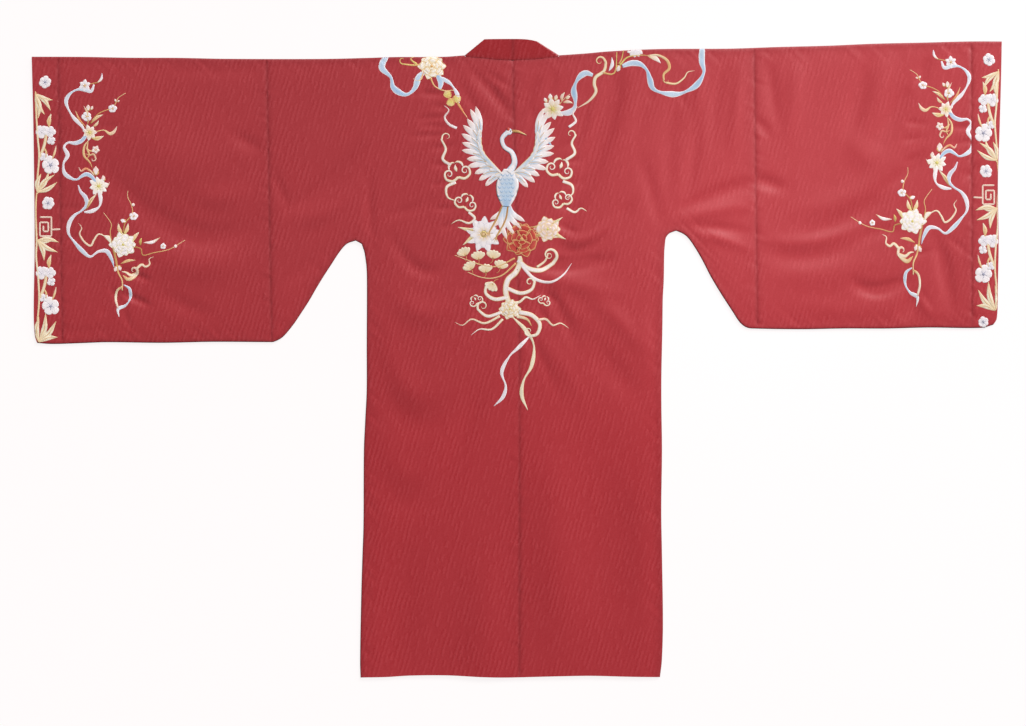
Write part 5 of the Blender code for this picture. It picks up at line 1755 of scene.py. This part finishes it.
def plums(hoop):
    """A group of plum flowers with their buds' stalks."""
    leaf(hoop, (-17, -142), (-13, -114), 4.4, [GOLD, PALE_GOLD, CREAM], 0.08, None, 0.0, GOLD)
    stroke(hoop, [(-3, -178), (-6, -192), (-12, -208)], 1.9, [BLUSH, PALE_GOLD, GOLD])
    stroke(hoop, [(-22, -152), (-27, -178), (-37, -205)], 2.8, [PALE_GOLD, CREAM, PALE_GOLD], GOLD, CORD)
    stroke(hoop, [(-28, -180), (-23, -192), (-24, -204)], 1.8, [PALE_GOLD, GOLD], lift=0.05)
    for x, y, radius, count in PLUMS:
        blossom(hoop.at(x, y), radius, count, heart=PEARL, turn=17 * (x % 5))
    stroke(hoop, [(-30, -222), (-22, -214), (-14, -208)], 5.0, [WHITE, PEARL], None, LEAF)
    blossom(hoop.at(-14, -217), 18, 5, (PEARL, WHITE, WHITE), heart=PLUM_HEART, turn=30)


def cuff_border(hoop, head, foot):
    """The whole band. The first plum is moved up by head, and the last bamboo stands at foot."""
    top = hoop.at(0, head)
    cane(hoop, [(-44, -70 + head), (-43, -110), (-40, -160), (-37, -200), (-41, -250), (-40, -275)])
    lower = [(-42, -272), (-44, -310), (-42, -366), (-43, -400), (-39, -440), (-37, -486), (-40, -530)]
    cane(hoop, lower + [(-38, foot)])
    for drop in (0, GROUP_DROP):
        plums(hoop.at(0, drop))
    bamboo_fan(top, -45, -74, [(-10, -87), (-14, -108), (-26, -116), (-39, -124)], 4.8)
    bamboo_fan(hoop, -41, -272, [(-17, -229), (-6, -236), (-1, -251), (-33, -234)], 4.4)
    blossom(top.at(-25, -51), 12.5, 6, heart=PLUM_HEART, turn=20)
    blossom(hoop.at(-19, -293), 13, 6, heart=PLUM_HEART, turn=50)
    fret(hoop.at(-24, -340), 23, 38)
    fret_line(hoop, (-13, -346), (6, -345))
    bamboo_fan(hoop, -41, -367, [(-9, -366), (2, -371), (0, -391), (-27, -408)], 4.8)
    bamboo_fan(hoop, -38, foot, [(-3, foot + 42), (0, foot + 10), (-24, foot + 58), (-37, foot + 50)], 5.4)


# %% Work the borders
# how far the border is moved outwards and upwards on each cuff, its first plum upwards, and its foot from
# the edge
Border = namedtuple("Border", "out up head foot")
BORDERS = {"left": Border(0.0, 0.0, 0, 3), "right": Border(0.010, 0.033, -19, 34)}
for side, cut in CUTS.items():
    place, corner = BORDERS[side], cut.cuff_seam[0]
    band = Hoop(corner[0] + cut.sign * place.out, corner[1] + place.up, mirror=-cut.sign)
    lowest = 1000 * (cut.cuff_seam[1][1] - corner[1] - place.up)
    cuff_border(band, place.head, lowest + place.foot)
    if side == "right":  # the next group of the border begins here, and the lower fold cuts it off
        blossom(band.at(-14, lowest + 11), 11, 6, heart=PLUM_HEART, turn=20)
    sew(band, "cuff_border_" + side, CUFF_THREAD_SHADING[side], cut, within=False)

# %% [markdown]
# ## Floor, light and camera
#
# The robe lies on a plain white sweep. A long lens straight above keeps its outline true.

# %% Floor
HALF_FLOOR, FLOOR_Z = 6.0, -0.0003
corners = [(x * HALF_FLOOR, y * HALF_FLOOR, FLOOR_Z) for x, y in ((-1, -1), (1, -1), (1, 1), (-1, 1))]
floor_mesh = bpy.data.meshes.new("floor")
floor_mesh.from_pydata(corners, [], [(0, 1, 2, 3)])
floor = put_in_scene("floor", floor_mesh)
paper, tree, shader = new_material("white_paper_sweep")
plug(tree, shader, Base_Color=linear("#605E5E"), Roughness=0.9, Specular_IOR_Level=0.0)
plug(tree, shader, Emission_Color=linear("#FFFBFB"), Emission_Strength=0.90)
floor_mesh.materials.append(paper)
floor.visible_diffuse = floor.visible_glossy = False  # the bright paper doesn't light the silk's edges
print("The floor is", 2 * HALF_FLOOR, "m wide.")


# %% Lights
def hang_light(name, kind, watts, place, to_light, **settings):
    """A light that shines against to_light, which points from the robe towards it."""
    light = bpy.data.lights.new(name, kind)
    light.energy = watts
    for setting, value in settings.items():
        setattr(light, setting, value)
    lamp = put_in_scene(name, light)
    lamp.location, lamp.rotation_euler = place, to_light.to_track_quat("Z", "Y").to_euler()


world = bpy.data.worlds.new("studio")
world.use_nodes = True
sky, background = world.node_tree, world.node_tree.nodes["Background"]
height = add_node(sky, "SeparateXYZ", Vector=add_node(sky, "TexCoord").outputs["Generated"]).outputs["Z"]
glow = add_node(sky, "MapRange", Value=height, From_Min=-0.05, From_Max=0.30, To_Min=0.08, To_Max=0.30)
plug(sky, background, Color=(1, 1, 1, 1), Strength=glow)
bpy.context.scene.world = world

SOFTBOX, SOFTBOX_AIM = Vector((2.4, 1.3, 1.2)), Vector((0.5, 0.1, 0))
hang_light("key_softbox", "AREA", 30, SOFTBOX, SOFTBOX - SOFTBOX_AIM, shape="SQUARE", size=0.8)

# a large window far off towards the collar: the same soft light falls on the whole robe
WINDOW_HEIGHT, WINDOW_TURN = math.radians(34), math.radians(62)  # above the floor, and round from +X
WINDOW_STRENGTH, WINDOW_SOFTNESS = 3.12, math.radians(24)
level = math.cos(WINDOW_HEIGHT)
to_window = (level * math.cos(WINDOW_TURN), level * math.sin(WINDOW_TURN), math.sin(WINDOW_HEIGHT))
hang_light("far_window", "SUN", WINDOW_STRENGTH, (0, 0, 0), Vector(to_window), angle=WINDOW_SOFTNESS)

# a spotlight with so soft an edge that only a faint pool of light shows on the right sleeve
POOL, SPOT_AWAY, SPOT_ANGLE = Vector((0.435, 0.30, 0)), 3.0, math.radians(14.5)
TO_SPOT = Vector((0.262, 0.494, 0.829))
SPOT = {"spot_size": SPOT_ANGLE, "spot_blend": 1.0, "shadow_soft_size": 0.3}
hang_light("sleeve_spot", "SPOT", 145, POOL + SPOT_AWAY * TO_SPOT, TO_SPOT, **SPOT)
print("Lights:", [light.name for light in bpy.data.lights])

# %% Camera
LENS, SENSOR, METRES_ACROSS = 100.0, 36.0, 2.052
ROBE_TOP = 0.004  # the frame is measured at about this height
camera_data = bpy.data.cameras.new("camera")
camera_data.lens, camera_data.sensor_width = LENS, SENSOR
camera = put_in_scene("camera", camera_data)
camera.location = (-0.0075, -0.0095, METRES_ACROSS * LENS / SENSOR + ROBE_TOP)
bpy.context.scene.camera = camera
bpy.context.scene.view_settings.view_transform = "Standard"
print(f"The camera looks down from {camera.location.z:.2f} m.")
